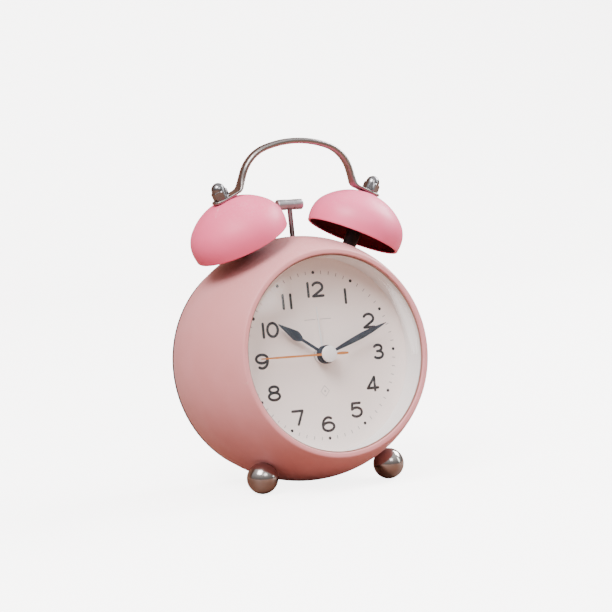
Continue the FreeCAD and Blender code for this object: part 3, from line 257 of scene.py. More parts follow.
def build_blotch(graph: Graph, inward: bpy.types.Node, outward: bpy.types.Node) -> None:
    """Slow uneven patches that stand for handling marks and uneven spraying."""
    mask = graph.ramp(graph.noise(graph.place(), inward.outputs["Scale"], 4.0), 0.35, 0.65)
    graph.link(mask, outward.inputs["Mask"])
    spread = graph.math("SUBTRACT", inward.outputs["High"], inward.outputs["Low"])
    value = graph.math("ADD", inward.outputs["Low"], graph.product(mask, spread))
    graph.link(value, outward.inputs["Value"])


def build_edge_wear(graph: Graph, inward: bpy.types.Node, outward: bpy.types.Node) -> None:
    """Mask of convex edges, broken up by noise, where a coating rubs thin."""
    pointed = graph.add("ShaderNodeNewGeometry").outputs["Pointiness"]
    edge = graph.ramp(pointed, inward.outputs["Start"], inward.outputs["Full"])
    broken = graph.ramp(graph.noise(graph.place(), inward.outputs["Scale"], 5.0), 0.4, 0.6)
    graph.link(graph.product(edge, broken, inward.outputs["Amount"]), outward.inputs["Mask"])


def build_dust(graph: Graph, inward: bpy.types.Node, outward: bpy.types.Node) -> None:
    """Thin dust on faces that look upward."""
    normal = graph.add("ShaderNodeNewGeometry").outputs["Normal"]
    upward = graph.ramp(graph.part(normal, "Z"), 0.35, 1.0)
    specks = graph.ramp(graph.noise(graph.place(), inward.outputs["Scale"], 6.0), 0.45, 0.7)
    graph.link(graph.product(upward, specks, inward.outputs["Amount"]), outward.inputs["Mask"])


def build_brushing(graph: Graph, inward: bpy.types.Node, outward: bpy.types.Node) -> None:
    """Long thin scratches along one direction of the object."""
    stretch = graph.add("ShaderNodeVectorMath", operation="MULTIPLY")
    graph.link(graph.place(), stretch.inputs[0])
    graph.link(inward.outputs["Direction"], stretch.inputs[1])
    lines = graph.noise(stretch.outputs["Vector"], 1.0, 2.0)
    graph.link(graph.product(lines, inward.outputs["Depth"]), outward.inputs["Height"])
    graph.link(lines, outward.inputs["Mask"])


GRAIN = Effect("surface_grain", {"Grain Scale": 3000.0, "Grain Depth": 1.0, "Swell Scale": 60.0,
                                 "Swell Depth": 0.0}, ("Height", "Mask"), build_grain)
BLOTCH = Effect("handling_blotch", {"Scale": 60.0, "Low": 0.3, "High": 0.5}, ("Mask", "Value"), build_blotch)
EDGE_WEAR = Effect("edge_wear", {"Start": 0.52, "Full": 0.6, "Scale": 400.0, "Amount": 0.5}, ("Mask",),
                   build_edge_wear)
DUST = Effect("settled_dust", {"Scale": 900.0, "Amount": 0.1}, ("Mask",), build_dust)
BRUSHING = Effect("brushing", {"Direction": (200.0, 3000.0, 3000.0), "Depth": 1.0}, ("Height", "Mask"),
                  build_brushing)


# ------------------------------------------------------------------ finishes
@dataclass(frozen=True)
class Finish:
    """What every finish has: a name, a colour and a roughness range."""

    name: str
    colour: Colour
    smooth: float = 0.35
    rough: float = 0.5

    def start(self) -> tuple[bpy.types.Material, Graph, bpy.types.Node]:
        """Makes an empty node material.

        Returns:
            The material, its graph and its Principled shader, already joined to the output.
        """
        material = bpy.data.materials.new(self.name)
        material.use_nodes = True
        material.node_tree.nodes.clear()
        graph = Graph(material.node_tree)
        shader = graph.add("ShaderNodeBsdfPrincipled")
        output = graph.add("ShaderNodeOutputMaterial")
        graph.link(shader.outputs[0], output.inputs[0])
        return material, graph, shader

    def bump(self, graph: Graph, shader: bpy.types.Node, height: bpy.types.NodeSocket,
             distance: float) -> None:
        """Feeds a height into the shader's normal through a Bump node.

        Args:
            graph: the material's graph.
            shader: its Principled shader.
            height: height from 0 to about 1.
            distance: real height in metres that a value of 1 stands for.
        """
        node = graph.add("ShaderNodeBump", Strength=1.0, Distance=distance)
        graph.link(height, node.inputs["Height"])
        graph.link(node.outputs["Normal"], shader.inputs["Normal"])

    def roughness(self, graph: Graph, shader: bpy.types.Node, scale: float) -> bpy.types.Node:
        """Varies roughness by slow patches and returns the patch node."""
        patches = BLOTCH.place(graph, Scale=scale, Low=self.smooth, High=self.rough)
        graph.link(patches.outputs["Value"], shader.inputs["Roughness"])
        return patches

    @staticmethod
    def show(graph: Graph, surface: bpy.types.NodeSocket) -> None:
        """Joins a shader to the material's output in place of the first one."""
        output = next(node for node in graph.tree.nodes if node.type == "OUTPUT_MATERIAL")
        graph.link(surface, output.inputs[0])

    def show_either(self, graph: Graph, share: bpy.types.NodeSocket, first: bpy.types.Node,
                    second: bpy.types.Node) -> None:
        """Shows one of two shaders by the kind of ray.

        Args:
            graph: the material's graph.
            share: 0 for the first shader and 1 for the second.
            first: shader node.
            second: shader node.
        """
        mixer = graph.add("ShaderNodeMixShader")
        for index, socket in enumerate((share, first.outputs[0], second.outputs[0])):
            graph.link(socket, mixer.inputs[index])
        self.show(graph, mixer.outputs[0])

    def make(self) -> bpy.types.Material:
        """Builds the material."""
        raise NotImplementedError


@dataclass(frozen=True)
class Paint(Finish):
    """Sprayed and stoved paint with orange peel, handling marks, thin edges and dust."""

    deep: Colour = (0.5, 0.3, 0.3)
    worn: Colour = (0.8, 0.6, 0.6)
    peel: float = 0.5
    clear_coat: float = 0.0
    wear: float = 0.5
    dust: float = 0.12
    sheen: float = 0.0

    def make(self) -> bpy.types.Material:
        """Builds the painted material."""
        material, graph, shader = self.start()
        patches = self.roughness(graph, shader, 45.0)
        tone = graph.mix(patches.outputs["Mask"], self.colour, self.deep)
        edge = EDGE_WEAR.place(graph, Start=0.53, Full=0.66, Scale=700.0, Amount=self.wear)
        worn = graph.mix(edge.outputs["Mask"], tone, self.worn)
        dust = DUST.place(graph, Scale=1100.0, Amount=self.dust)
        graph.link(graph.mix(dust.outputs["Mask"], worn, (0.86, 0.83, 0.81)), shader.inputs["Base Color"])
        grain = GRAIN.place(graph, Grain_Scale=2600.0, Grain_Depth=0.35, Swell_Scale=420.0,
                            Swell_Depth=0.65)
        self.bump(graph, shader, grain.outputs["Height"], self.peel * 0.00006)
        shader.inputs["Coat Weight"].default_value = self.clear_coat
        shader.inputs["Coat Roughness"].default_value = 0.28
        shader.inputs["Specular IOR Level"].default_value = 0.45
        shader.inputs["Sheen Weight"].default_value = self.sheen
        shader.inputs["Sheen Roughness"].default_value = 0.5
        return material


@dataclass(frozen=True)
class Metal(Finish):
    """Bare or plated metal with smudges, fine scratches and darker tarnish."""

    tarnish: Colour = (0.3, 0.29, 0.28)
    tarnish_share: float = 0.3
    direction: Triple = (900.0, 900.0, 900.0)
    scratch: float = 0.25

    def make(self) -> bpy.types.Material:
        """Builds the metal material."""
        material, graph, shader = self.start()
        shader.inputs["Metallic"].default_value = 1.0
        patches = self.roughness(graph, shader, 160.0)
        dull = graph.product(patches.outputs["Mask"], self.tarnish_share)
        graph.link(graph.mix(dull, self.colour, self.tarnish), shader.inputs["Base Color"])
        lines = BRUSHING.place(graph, Direction=self.direction, Depth=1.0)
        self.bump(graph, shader, lines.outputs["Height"], self.scratch * 0.00002)
        return material


@dataclass(frozen=True)
class Moulding(Finish):
    """Moulded plastic with a fine spark texture, rubbed edges and dust."""

    worn: Colour = (0.12, 0.12, 0.12)
    texture: float = 0.5
    texture_scale: float = 2400.0
    subsurface: float = 0.0

    def make(self) -> bpy.types.Material:
        """Builds the moulded material."""
        material, graph, shader = self.start()
        self.roughness(graph, shader, 70.0)
        edge = EDGE_WEAR.place(graph, Start=0.54, Full=0.7, Scale=500.0, Amount=0.6)
        worn = graph.mix(edge.outputs["Mask"], self.colour, self.worn)
        dust = DUST.place(graph, Scale=1300.0, Amount=0.08)
        graph.link(graph.mix(dust.outputs["Mask"], worn, (0.6, 0.59, 0.57)), shader.inputs["Base Color"])
        grain = GRAIN.place(graph, Grain_Scale=self.texture_scale, Grain_Depth=1.0)
        self.bump(graph, shader, grain.outputs["Height"], self.texture * 0.00008)
        shader.inputs["Subsurface Weight"].default_value = self.subsurface
        shader.inputs["Subsurface Radius"].default_value = (0.002, 0.001, 0.001)
        return material


@dataclass(frozen=True)
class Printed(Finish):
    """Flat lacquer or ink with a slight paper-like tooth and slow change of tone."""

    second: Colour = (0.5, 0.5, 0.5)
    tooth: float = 0.3
    tone_scale: float = 35.0

    def make(self) -> bpy.types.Material:
        """Builds the printed material."""
        material, graph, shader = self.start()
        patches = self.roughness(graph, shader, self.tone_scale)
        grain = GRAIN.place(graph, Grain_Scale=5200.0, Grain_Depth=0.6, Swell_Scale=900.0,
                            Swell_Depth=0.4)
        speckle = graph.product(graph.ramp(grain.outputs["Mask"], 0.45, 0.75), 0.35)
        tone = graph.math("MAXIMUM", speckle, graph.product(patches.outputs["Mask"], 0.5))
        graph.link(graph.mix(tone, self.colour, self.second), shader.inputs["Base Color"])
        self.bump(graph, shader, grain.outputs["Height"], self.tooth * 0.00004)
        return material


@dataclass(frozen=True)
class ClearGlass(Finish):
    """Clear lens that lets light rays through unbent, so that the dial behind it is lit."""

    index: float = 1.33

    def make(self) -> bpy.types.Material:
        """Builds the lens material."""
        material, graph, shader = self.start()
        shader.inputs["Base Color"].default_value = (*self.colour, 1.0)
        shader.inputs["Transmission Weight"].default_value = 1.0
        shader.inputs["IOR"].default_value = self.index
        patches = self.roughness(graph, shader, 90.0)
        self.bump(graph, shader, patches.outputs["Mask"], 0.0000008)
        clear = graph.add("ShaderNodeBsdfTransparent")
        path = graph.add("ShaderNodeLightPath")
        both = graph.math("MAXIMUM", path.outputs["Is Shadow Ray"], path.outputs["Is Diffuse Ray"])
        self.show_either(graph, both, shader, clear)
        return material


@dataclass(frozen=True)
class StudioFloor(Finish):
    """Pale floor to look at, and warm table to light and mirrors, as a dark wooden table would bounce."""

    bounce: Colour = (0.25, 0.12, 0.075)
    glow: float = 4.8

    def make(self) -> bpy.types.Material:
        """Builds the floor material."""
        material, graph, shader = self.start()
        patches = self.roughness(graph, shader, 5.0)
        pale = tuple(value * 0.97 for value in self.colour)
        graph.link(graph.mix(patches.outputs["Mask"], self.colour, pale), shader.inputs["Base Color"])
        shader.inputs["Emission Color"].default_value = (1.0, 0.985, 0.975, 1.0)
        shader.inputs["Emission Strength"].default_value = self.glow
        table = graph.add("ShaderNodeBsdfPrincipled", Roughness=0.6)
        table.inputs["Base Color"].default_value = (*self.bounce, 1.0)
        seen = graph.add("ShaderNodeLightPath").outputs["Is Camera Ray"]
        self.show_either(graph, seen, table, shader)
        return material


@dataclass(frozen=True)
class WindowGlow(Finish):
    """Light of a window with soft edges."""

    strength: float = 6.0
    plain: float = 0.2

    def make(self) -> bpy.types.Material:
        """Builds the glowing material."""
        material, graph, shader = self.start()
        place = graph.add("ShaderNodeTexCoord").outputs["Generated"]
        soft = []
        for axis in ("X", "Y"):
            off_centre = graph.math("ABSOLUTE", graph.math("SUBTRACT", graph.part(place, axis), 0.5), 0.0)
            soft.append(graph.math("SUBTRACT", 1.0, graph.ramp(off_centre, self.plain, 0.5)))
        glow = graph.product(*soft, self.strength)
        lamp = graph.add("ShaderNodeEmission")
        lamp.inputs["Color"].default_value = (*self.colour, 1.0)
        graph.link(glow, lamp.inputs["Strength"])
        self.show(graph, lamp.outputs[0])
        graph.tree.nodes.remove(shader)
        return material


class Finishes:
    """Every finish on the clock, made on first use."""

    CASE = Paint("case_pink_paint", (0.74, 0.30, 0.315), 0.42, 0.52, deep=(0.70, 0.27, 0.275),
                 worn=(0.78, 0.46, 0.45), peel=0.5, wear=0.5, dust=0.1, sheen=0.1)
    BELL = Paint("bell_rose_paint", (0.95, 0.16, 0.31), 0.44, 0.54, deep=(0.90, 0.125, 0.25),
                 worn=(0.92, 0.42, 0.48), peel=0.4, clear_coat=0.05, wear=0.5, dust=0.08)
    # Inside of the bells: a near-black red that is painted shade, standing for the shadow inside the bell
    # cups, not a paint of its own.
    BELL_INSIDE = Paint("bell_inside_painted_shade", (0.17, 0.008, 0.014), 0.35, 0.5, deep=(0.07, 0.006, 0.010),
                        worn=(0.2, 0.04, 0.04), peel=0.8, wear=0.2, dust=0.0)
    POLISHED = Metal("polished_steel", (0.40, 0.37, 0.355), 0.10, 0.20, tarnish=(0.26, 0.22, 0.20),
                     tarnish_share=0.4)
    HANDLE = Metal("handle_steel", (0.37, 0.345, 0.335), 0.20, 0.34, tarnish=(0.24, 0.18, 0.16),
                   tarnish_share=0.5, scratch=0.4)
    PLATED = Metal("plated_steel", (0.34, 0.325, 0.33), 0.28, 0.42, tarnish=(0.2, 0.17, 0.16),
                   tarnish_share=0.5, direction=(2500.0, 300.0, 2500.0), scratch=0.5)
    NUT = Metal("nickelled_nut", (0.27, 0.265, 0.275), 0.16, 0.26, tarnish=(0.14, 0.13, 0.13),
                tarnish_share=0.4)
    ROD = Metal("dull_rod", (0.20, 0.155, 0.155), 0.3, 0.45, tarnish=(0.12, 0.09, 0.09), tarnish_share=0.4)
    HEAD = Metal("hammer_steel", (0.50, 0.49, 0.51), 0.26, 0.40, tarnish=(0.3, 0.28, 0.28),
                 tarnish_share=0.4)
    SPACER = Metal("blued_steel", (0.055, 0.045, 0.045), 0.4, 0.55, tarnish=(0.03, 0.025, 0.025),
                   tarnish_share=0.5)
    IRON = Metal("bare_iron", (0.32, 0.31, 0.32), 0.4, 0.6, tarnish=(0.2, 0.16, 0.13), tarnish_share=0.7)
    BRASS = Metal("turned_brass", (0.72, 0.53, 0.25), 0.2, 0.35, tarnish=(0.45, 0.32, 0.14),
                  direction=(2600.0, 200.0, 2600.0), scratch=0.4)
    COPPER_WIRE = Metal("enamelled_copper_wire", (0.62, 0.28, 0.13), 0.25, 0.35,
                        tarnish=(0.4, 0.15, 0.06), direction=(7000.0, 200.0, 200.0), scratch=1.5)
    BLACK = Moulding("black_moulding", (0.022, 0.022, 0.024), 0.5, 0.65, worn=(0.07, 0.07, 0.07))
    GREY = Moulding("grey_moulding", (0.32, 0.32, 0.33), 0.45, 0.6, worn=(0.4, 0.4, 0.4))
    WHITE = Moulding("white_moulding", (0.80, 0.78, 0.77), 0.3, 0.42, worn=(0.86, 0.85, 0.83), texture=0.15,
                     subsurface=0.05)
    NYLON = Moulding("gear_nylon", (0.74, 0.70, 0.6), 0.35, 0.5, worn=(0.8, 0.77, 0.7), texture=0.2,
                     subsurface=0.1)
    # Gasket ring: a seat in front of the lens edge whose brown is painted shade, the thin shadow line between
    # the case's lip and the lens.
    GASKET = Moulding("painted_shadow_line_brown", (0.28, 0.15, 0.12), 0.55, 0.7, worn=(0.2, 0.11, 0.08), texture=0.3)
    FIBRE = Moulding("red_fibre", (0.25, 0.06, 0.05), 0.6, 0.75, worn=(0.35, 0.12, 0.1),
                     texture=1.0, texture_scale=1200.0)
    BOARD = Moulding("board_green", (0.02, 0.16, 0.07), 0.3, 0.45, worn=(0.05, 0.25, 0.12), texture=0.3)
    JACKET = Moulding("cell_jacket", (0.04, 0.045, 0.055), 0.25, 0.35, worn=(0.1, 0.1, 0.1), texture=0.1)
    DIAL = Printed("dial_cream", (0.93, 0.83, 0.785), 0.42, 0.52, second=(0.90, 0.80, 0.75))
    INK = Printed("dial_ink", (0.012, 0.012, 0.014), 0.5, 0.6, second=(0.02, 0.02, 0.022), tone_scale=300.0)
    PALE_INK = Printed("dial_pale_ink", (0.40, 0.36, 0.35), 0.45, 0.55, second=(0.46, 0.42, 0.40),
                       tone_scale=300.0)
    SLATE = Printed("slate_lacquer", (0.010, 0.016, 0.027), 0.42, 0.52, second=(0.032, 0.046, 0.062),
                    tone_scale=250.0)
    COPPER_LACQUER = Printed("copper_lacquer", (0.50, 0.185, 0.05), 0.3, 0.4, second=(0.43, 0.15, 0.035),
                             tone_scale=250.0)
    WHITE_LACQUER = Printed("white_lacquer", (0.80, 0.79, 0.80), 0.3, 0.4, second=(0.76, 0.75, 0.76),
                            tone_scale=250.0)
    LENS = ClearGlass("clear_lens", (1.0, 1.0, 1.0), 0.0, 0.03)

    _made: dict[str, bpy.types.Material] = {}

    @classmethod
    def get(cls, finish: Finish) -> bpy.types.Material:
        """Material of a finish, built the first time that it is asked for."""
        if finish.name not in cls._made:
            cls._made[finish.name] = finish.make()
        return cls._made[finish.name]


# ------------------------------------------------------------------ mesh tools
@dataclass
class Shape:
    """Vertices and faces in the upright clock's millimetres, with a finish number for each face."""

    points: list[Vector] = field(default_factory=list)
    faces: list[tuple[int, ...]] = field(default_factory=list)
    marks: list[int] = field(default_factory=list)

    def add(self, points: Sequence[Vector], faces: Sequence[tuple[int, ...]],
            marks: Sequence[int] | None = None) -> "Shape":
        """Adds vertices and faces, and returns the shape itself."""
        first = len(self.points)
        self.points += [Vector(point) for point in points]
        self.faces += [tuple(first + index for index in face) for face in faces]
        self.marks += list(marks) if marks is not None else [0] * len(faces)
        return self

    def moved(self, matrix: Matrix) -> "Shape":
        """A copy of the shape moved by a matrix."""
        return Shape([matrix @ point for point in self.points], list(self.faces), list(self.marks))

    def joined(self, other: "Shape") -> "Shape":
        """This shape with another one added to it."""
        return self.add(other.points, other.faces, other.marks)


def arc(centre: Point, radius: float, start: float, end: float, count: int) -> list[Point]:
    """Points along an arc.

    Args:
        centre: centre of the arc.
        radius: its radius.
        start: first angle in degrees from the first axis towards the second.
        end: last angle in degrees.
        count: number of steps.

    Returns:
        count + 1 points.
    """
    angles = [math.radians(start + (end - start) * step / count) for step in range(count + 1)]
    return [(centre[0] + radius * math.cos(a), centre[1] + radius * math.sin(a)) for a in angles]


def rounded(corners: Sequence[Triple], count: int = 4) -> list[Point]:
    """Closed outline whose corners are rounded.

    Args:
        corners: each corner with its rounding radius.
        count: steps in each rounding.

    Returns:
        The outline's points.
    """
    outline: list[Point] = []
    for index, (x, y, radius) in enumerate(corners):
        here = Vector((x, y))
        before = (Vector(corners[index - 1][:2]) - here).normalized()
        after = (Vector(corners[(index + 1) % len(corners)][:2]) - here).normalized()
        half = before.angle(after) / 2
        if radius <= 0 or half > math.radians(89):
            outline.append((x, y))
            continue
        setback = radius / math.tan(half)
        middle = here + (before + after).normalized() * (radius / math.sin(half))
        first = here + before * setback - middle
        last = here + after * setback - middle
        turn = first.angle_signed(last)
        for step in range(count + 1):
            spoke = first.copy()
            spoke.rotate(Matrix.Rotation(-turn * step / count, 2))
            outline.append((middle.x + spoke.x, middle.y + spoke.y))
    return outline


def lathe(profile: Sequence[Point], steps: int = 128, axis: str = "Y", closed: bool = True,
          limit: Callable[[float], float] | None = None,
          mark: Callable[[int], int] | None = None) -> Shape:
    """Turns a profile of (radius, place along the axis) round an axis through the origin.

    Args:
        profile: the outline's points.
        steps: divisions of the circle.
        axis: X, Y or Z.
        closed: whether the last point joins the first.
        limit: largest radius at an angle in radians, for prismatic stretches.
        mark: finish number of the stretch that starts at a profile point.

    Returns:
        The turned shape.
    """
    shape = Shape()
    points = []
    for step in range(steps):
        angle = 2 * math.pi * step / steps
        for radius, along in profile:
            reach = radius if limit is None else min(radius, limit(angle))
            across, rise = reach * math.cos(angle), reach * math.sin(angle)
            place = {"Y": (rise, along, across), "Z": (across, rise, along), "X": (along, across, rise)}
            points.append(Vector(place[axis]))
    faces, marks = [], []
    count = len(profile)
    for step in range(steps):
        after = (step + 1) % steps
        for index in range(count if closed else count - 1):
            following = (index + 1) % count
            if profile[index][0] < 1e-6 and profile[following][0] < 1e-6:
                continue
            faces.append((step * count + index, step * count + following,
                          after * count + following, after * count + index))
            marks.append(mark(index) if mark else 0)
    return shape.add(points, faces, marks)


def sweep(rings: Sequence[Sequence[Vector]]) -> Shape:
    """Closed tube through rings of equally many points, with flat ends."""
    size = len(rings[0])
    points = [point for ring in rings for point in ring]
    faces = [(row * size + i, row * size + (i + 1) % size, (row + 1) * size + (i + 1) % size,
              (row + 1) * size + i) for row in range(len(rings) - 1) for i in range(size)]
    last = (len(rings) - 1) * size
    faces.append(tuple(reversed(range(size))))
    faces.append(tuple(range(last, last + size)))
    return Shape().add(points, faces)


def plate(outline: Sequence[Point], front: float, back: float) -> Shape:
    """Flat plate between two depths from an outline of (x, z)."""
    return sweep([[Vector((x, depth, z)) for x, z in outline] for depth in (front, back)])


@dataclass
class Piece:
    """A finished mesh piece of the clock."""

    name: str
    shape: Shape
    finishes: Sequence[Finish]
    body: str
    slot: str
    stands_for: Sequence[str] = ()
    sharp: float = 32.0
    bevel: float = 0.0

    def build(self, matrix: Matrix = CLOCK) -> bpy.types.Object:
        """Makes the Blender object, dresses it and ties it to its body.

        Args:
            matrix: from the shape's own millimetres to the frame.

        Returns:
            The new object.
        """
        mesh = bpy.data.meshes.new(self.name)
        mesh.from_pydata([matrix @ point for point in self.shape.points], [], self.shape.faces)
        mesh.polygons.foreach_set("material_index", self.shape.marks)
        tidy = bmesh.new()
        tidy.from_mesh(mesh)
        bmesh.ops.remove_doubles(tidy, verts=tidy.verts, dist=2e-7)
        bmesh.ops.dissolve_degenerate(tidy, edges=tidy.edges, dist=1e-8)
        bmesh.ops.recalc_face_normals(tidy, faces=tidy.faces)
        if self.bevel:
            edges = [edge for edge in tidy.edges if edge.calc_face_angle(0.0) > math.radians(self.sharp)]
            bmesh.ops.bevel(tidy, geom=edges, offset=self.bevel * MM, segments=2, affect="EDGES",
                            clamp_overlap=True)
        tidy.to_mesh(mesh)
        tidy.free()
        mesh.shade_smooth()
        mesh.set_sharp_from_angle(angle=math.radians(self.sharp))
        piece = bpy.data.objects.new(self.name, mesh)
        bpy.context.scene.collection.objects.link(piece)
        for finish in self.finishes:
            mesh.materials.append(Finishes.get(finish))
        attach(piece, self.body)
        if self.stands_for:
            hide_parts(*self.stands_for)
        LOG.info("%s: %d faces on %s", self.name, len(mesh.polygons), self.body)
        return piece


def cut_out(piece: bpy.types.Object, cutter: Shape) -> None:
    """Cuts a shape in the clock's millimetres out of a piece, then removes the cutter."""
    mesh = bpy.data.meshes.new("cutter")
    mesh.from_pydata([CLOCK @ point for point in cutter.points], [], cutter.faces)
    tool = bpy.data.objects.new("cutter", mesh)
    bpy.context.scene.collection.objects.link(tool)
    modifier = piece.modifiers.new("cut", "BOOLEAN")
    modifier.operation = "DIFFERENCE"
    modifier.solver = "EXACT"
    modifier.object = tool
    bpy.context.view_layer.update()
    graph = bpy.context.evaluated_depsgraph_get()
    result = bpy.data.meshes.new_from_object(piece.evaluated_get(graph))
    piece.modifiers.remove(modifier)
    old = piece.data
    piece.data = result
    result.set_sharp_from_angle(angle=math.radians(32))
    bpy.data.meshes.remove(old)
    bpy.data.objects.remove(tool)
    bpy.data.meshes.remove(mesh)


# ------------------------------------------------------------------ case
@dataclass
class Case:
    """Drawn shell with a turned-in front lip, its lens, a gasket whose brown is painted shadow along the lip,
    and the white wall behind it.
    """

    widest: float = 43.7
    barrel: float = 60.0
    widest_depth: float = 29.0
    depth: float = 48.4
    wall: float = 0.8
    opening: float = 34.5
    lip_depth: float = 0.9
    lens_edge: float = 34.8
    lens_rise: float = 4.5
    lens_wall: float = 1.6
    gasket: float = 0.4
    surround: float = 34.3
    dial_depth: float = 12.5
    dial_radius: float = 38.5
    slot_depth: float = 24.5
    slot_reach: float = 4.2
    slot_half: float = 1.8
    nose: float = 0.42
    edge: float = 0.85
    steps: int = 40

    def radius(self, depth: float, inset: float = 0.0) -> float:
        """Radius of the barrel at a depth, at an inset below its painted face."""
        reach = self.barrel - inset
        return self.widest - self.barrel + math.sqrt(reach ** 2 - (depth - self.widest_depth) ** 2)

    def shell(self) -> None:
        """Builds the painted shell, with the hammer's slot cut in its top."""
        shares = [i / self.steps for i in range(self.steps + 1)]
        outside = [self.nose + (self.depth - 0.2 - self.nose) * share for share in shares]
        inside = [self.depth - (self.depth - self.lip_depth) * share for share in shares]
        outer = [(self.radius(depth), depth) for depth in outside]
        inner = [(self.radius(depth, self.wall), depth) for depth in inside]
        slope = math.asin(1.0 - self.nose / self.edge)
        shoulder = (self.radius(self.nose) - self.edge * math.cos(slope), self.edge)
        roll = (arc((self.opening + self.nose, self.nose), self.nose, 180, 270, 5)
                + arc(shoulder, self.edge, 270, 360 - math.degrees(slope), 8)[:-1])
        back = [(self.radius(self.depth) - 0.15, self.depth)]
        profile = outer + back + inner + [(self.opening, self.lip_depth)] + roll
        piece = Piece("pink_case_shell", lathe(profile, 256), [Finishes.CASE], "root", "case_paint",
                      ["case_shell"]).build()
        reach, half = self.slot_reach, self.slot_half
        corners = [(x, self.slot_depth + y, half - 0.1)
                   for x, y in ((-reach, -half), (reach, -half), (reach, half), (-reach, half))]
        cut_out(piece, sweep([[Vector((x, y, z)) for x, y in rounded(corners, 6)] for z in (40.0, 48.0)]))

    def lens(self) -> None:
        """Builds the domed lens and the thin gasket in front of its edge, coloured brown as a painted shadow
        line between the lip and the lens.
        """
        front = self.lip_depth + self.gasket
        back = front + self.lens_wall
        dome = self.opening - 0.6
        ball = (dome ** 2 + self.lens_rise ** 2) / (2 * self.lens_rise)
        centre = front - self.lens_rise + ball
        inner_ball = ball - self.lens_wall
        outer_angle = math.degrees(math.asin(dome / ball))
        inner_angle = math.degrees(math.acos((centre - back) / inner_ball))
        outer = arc((0.0, centre), ball, -90, -90 + outer_angle, 24)
        inner = arc((0.0, centre), inner_ball, -90 + inner_angle, -90, 24)
        profile = outer + [(self.lens_edge, front), (self.lens_edge, back)] + inner
        Piece("domed_lens", lathe(profile, 192), [Finishes.LENS], "root", "clear_lens", ["lens"]).build()
        bore, rim = self.opening - 0.5, self.lens_edge - 0.1
        ring = rounded([(bore, self.lip_depth, 0.15), (rim, self.lip_depth, 0.1), (rim, front, 0.1),
                        (bore, front, 0.15)])
        Piece("lens_seat_shadow_line_ring", lathe(ring, 192), [Finishes.GASKET], "root", "brown_gasket",
              ["lens_gasket"]).build()

    def surround_ring(self) -> None:
        """Builds the white wall between lens and dial, with a small cove where it meets the dial."""
        front = self.lip_depth + self.gasket + self.lens_wall
        inner, outer = self.surround, self.surround + self.wall
        step = self.dial_depth - 1
        corners = [(inner, front, 0.2), (outer, front, 0.2), (outer, step, 0.2),
                   (self.dial_radius, step, 0.2), (self.dial_radius, self.dial_depth, 0.1),
                   (inner, self.dial_depth, 0.12)]
        Piece("white_surround", lathe(rounded(corners, 3), 192), [Finishes.WHITE], "root",
              "white_moulding", ["dial_surround"]).build()

    def build(self) -> None:
        """Builds the whole case front."""
        self.shell()
        self.lens()
        self.surround_ring()


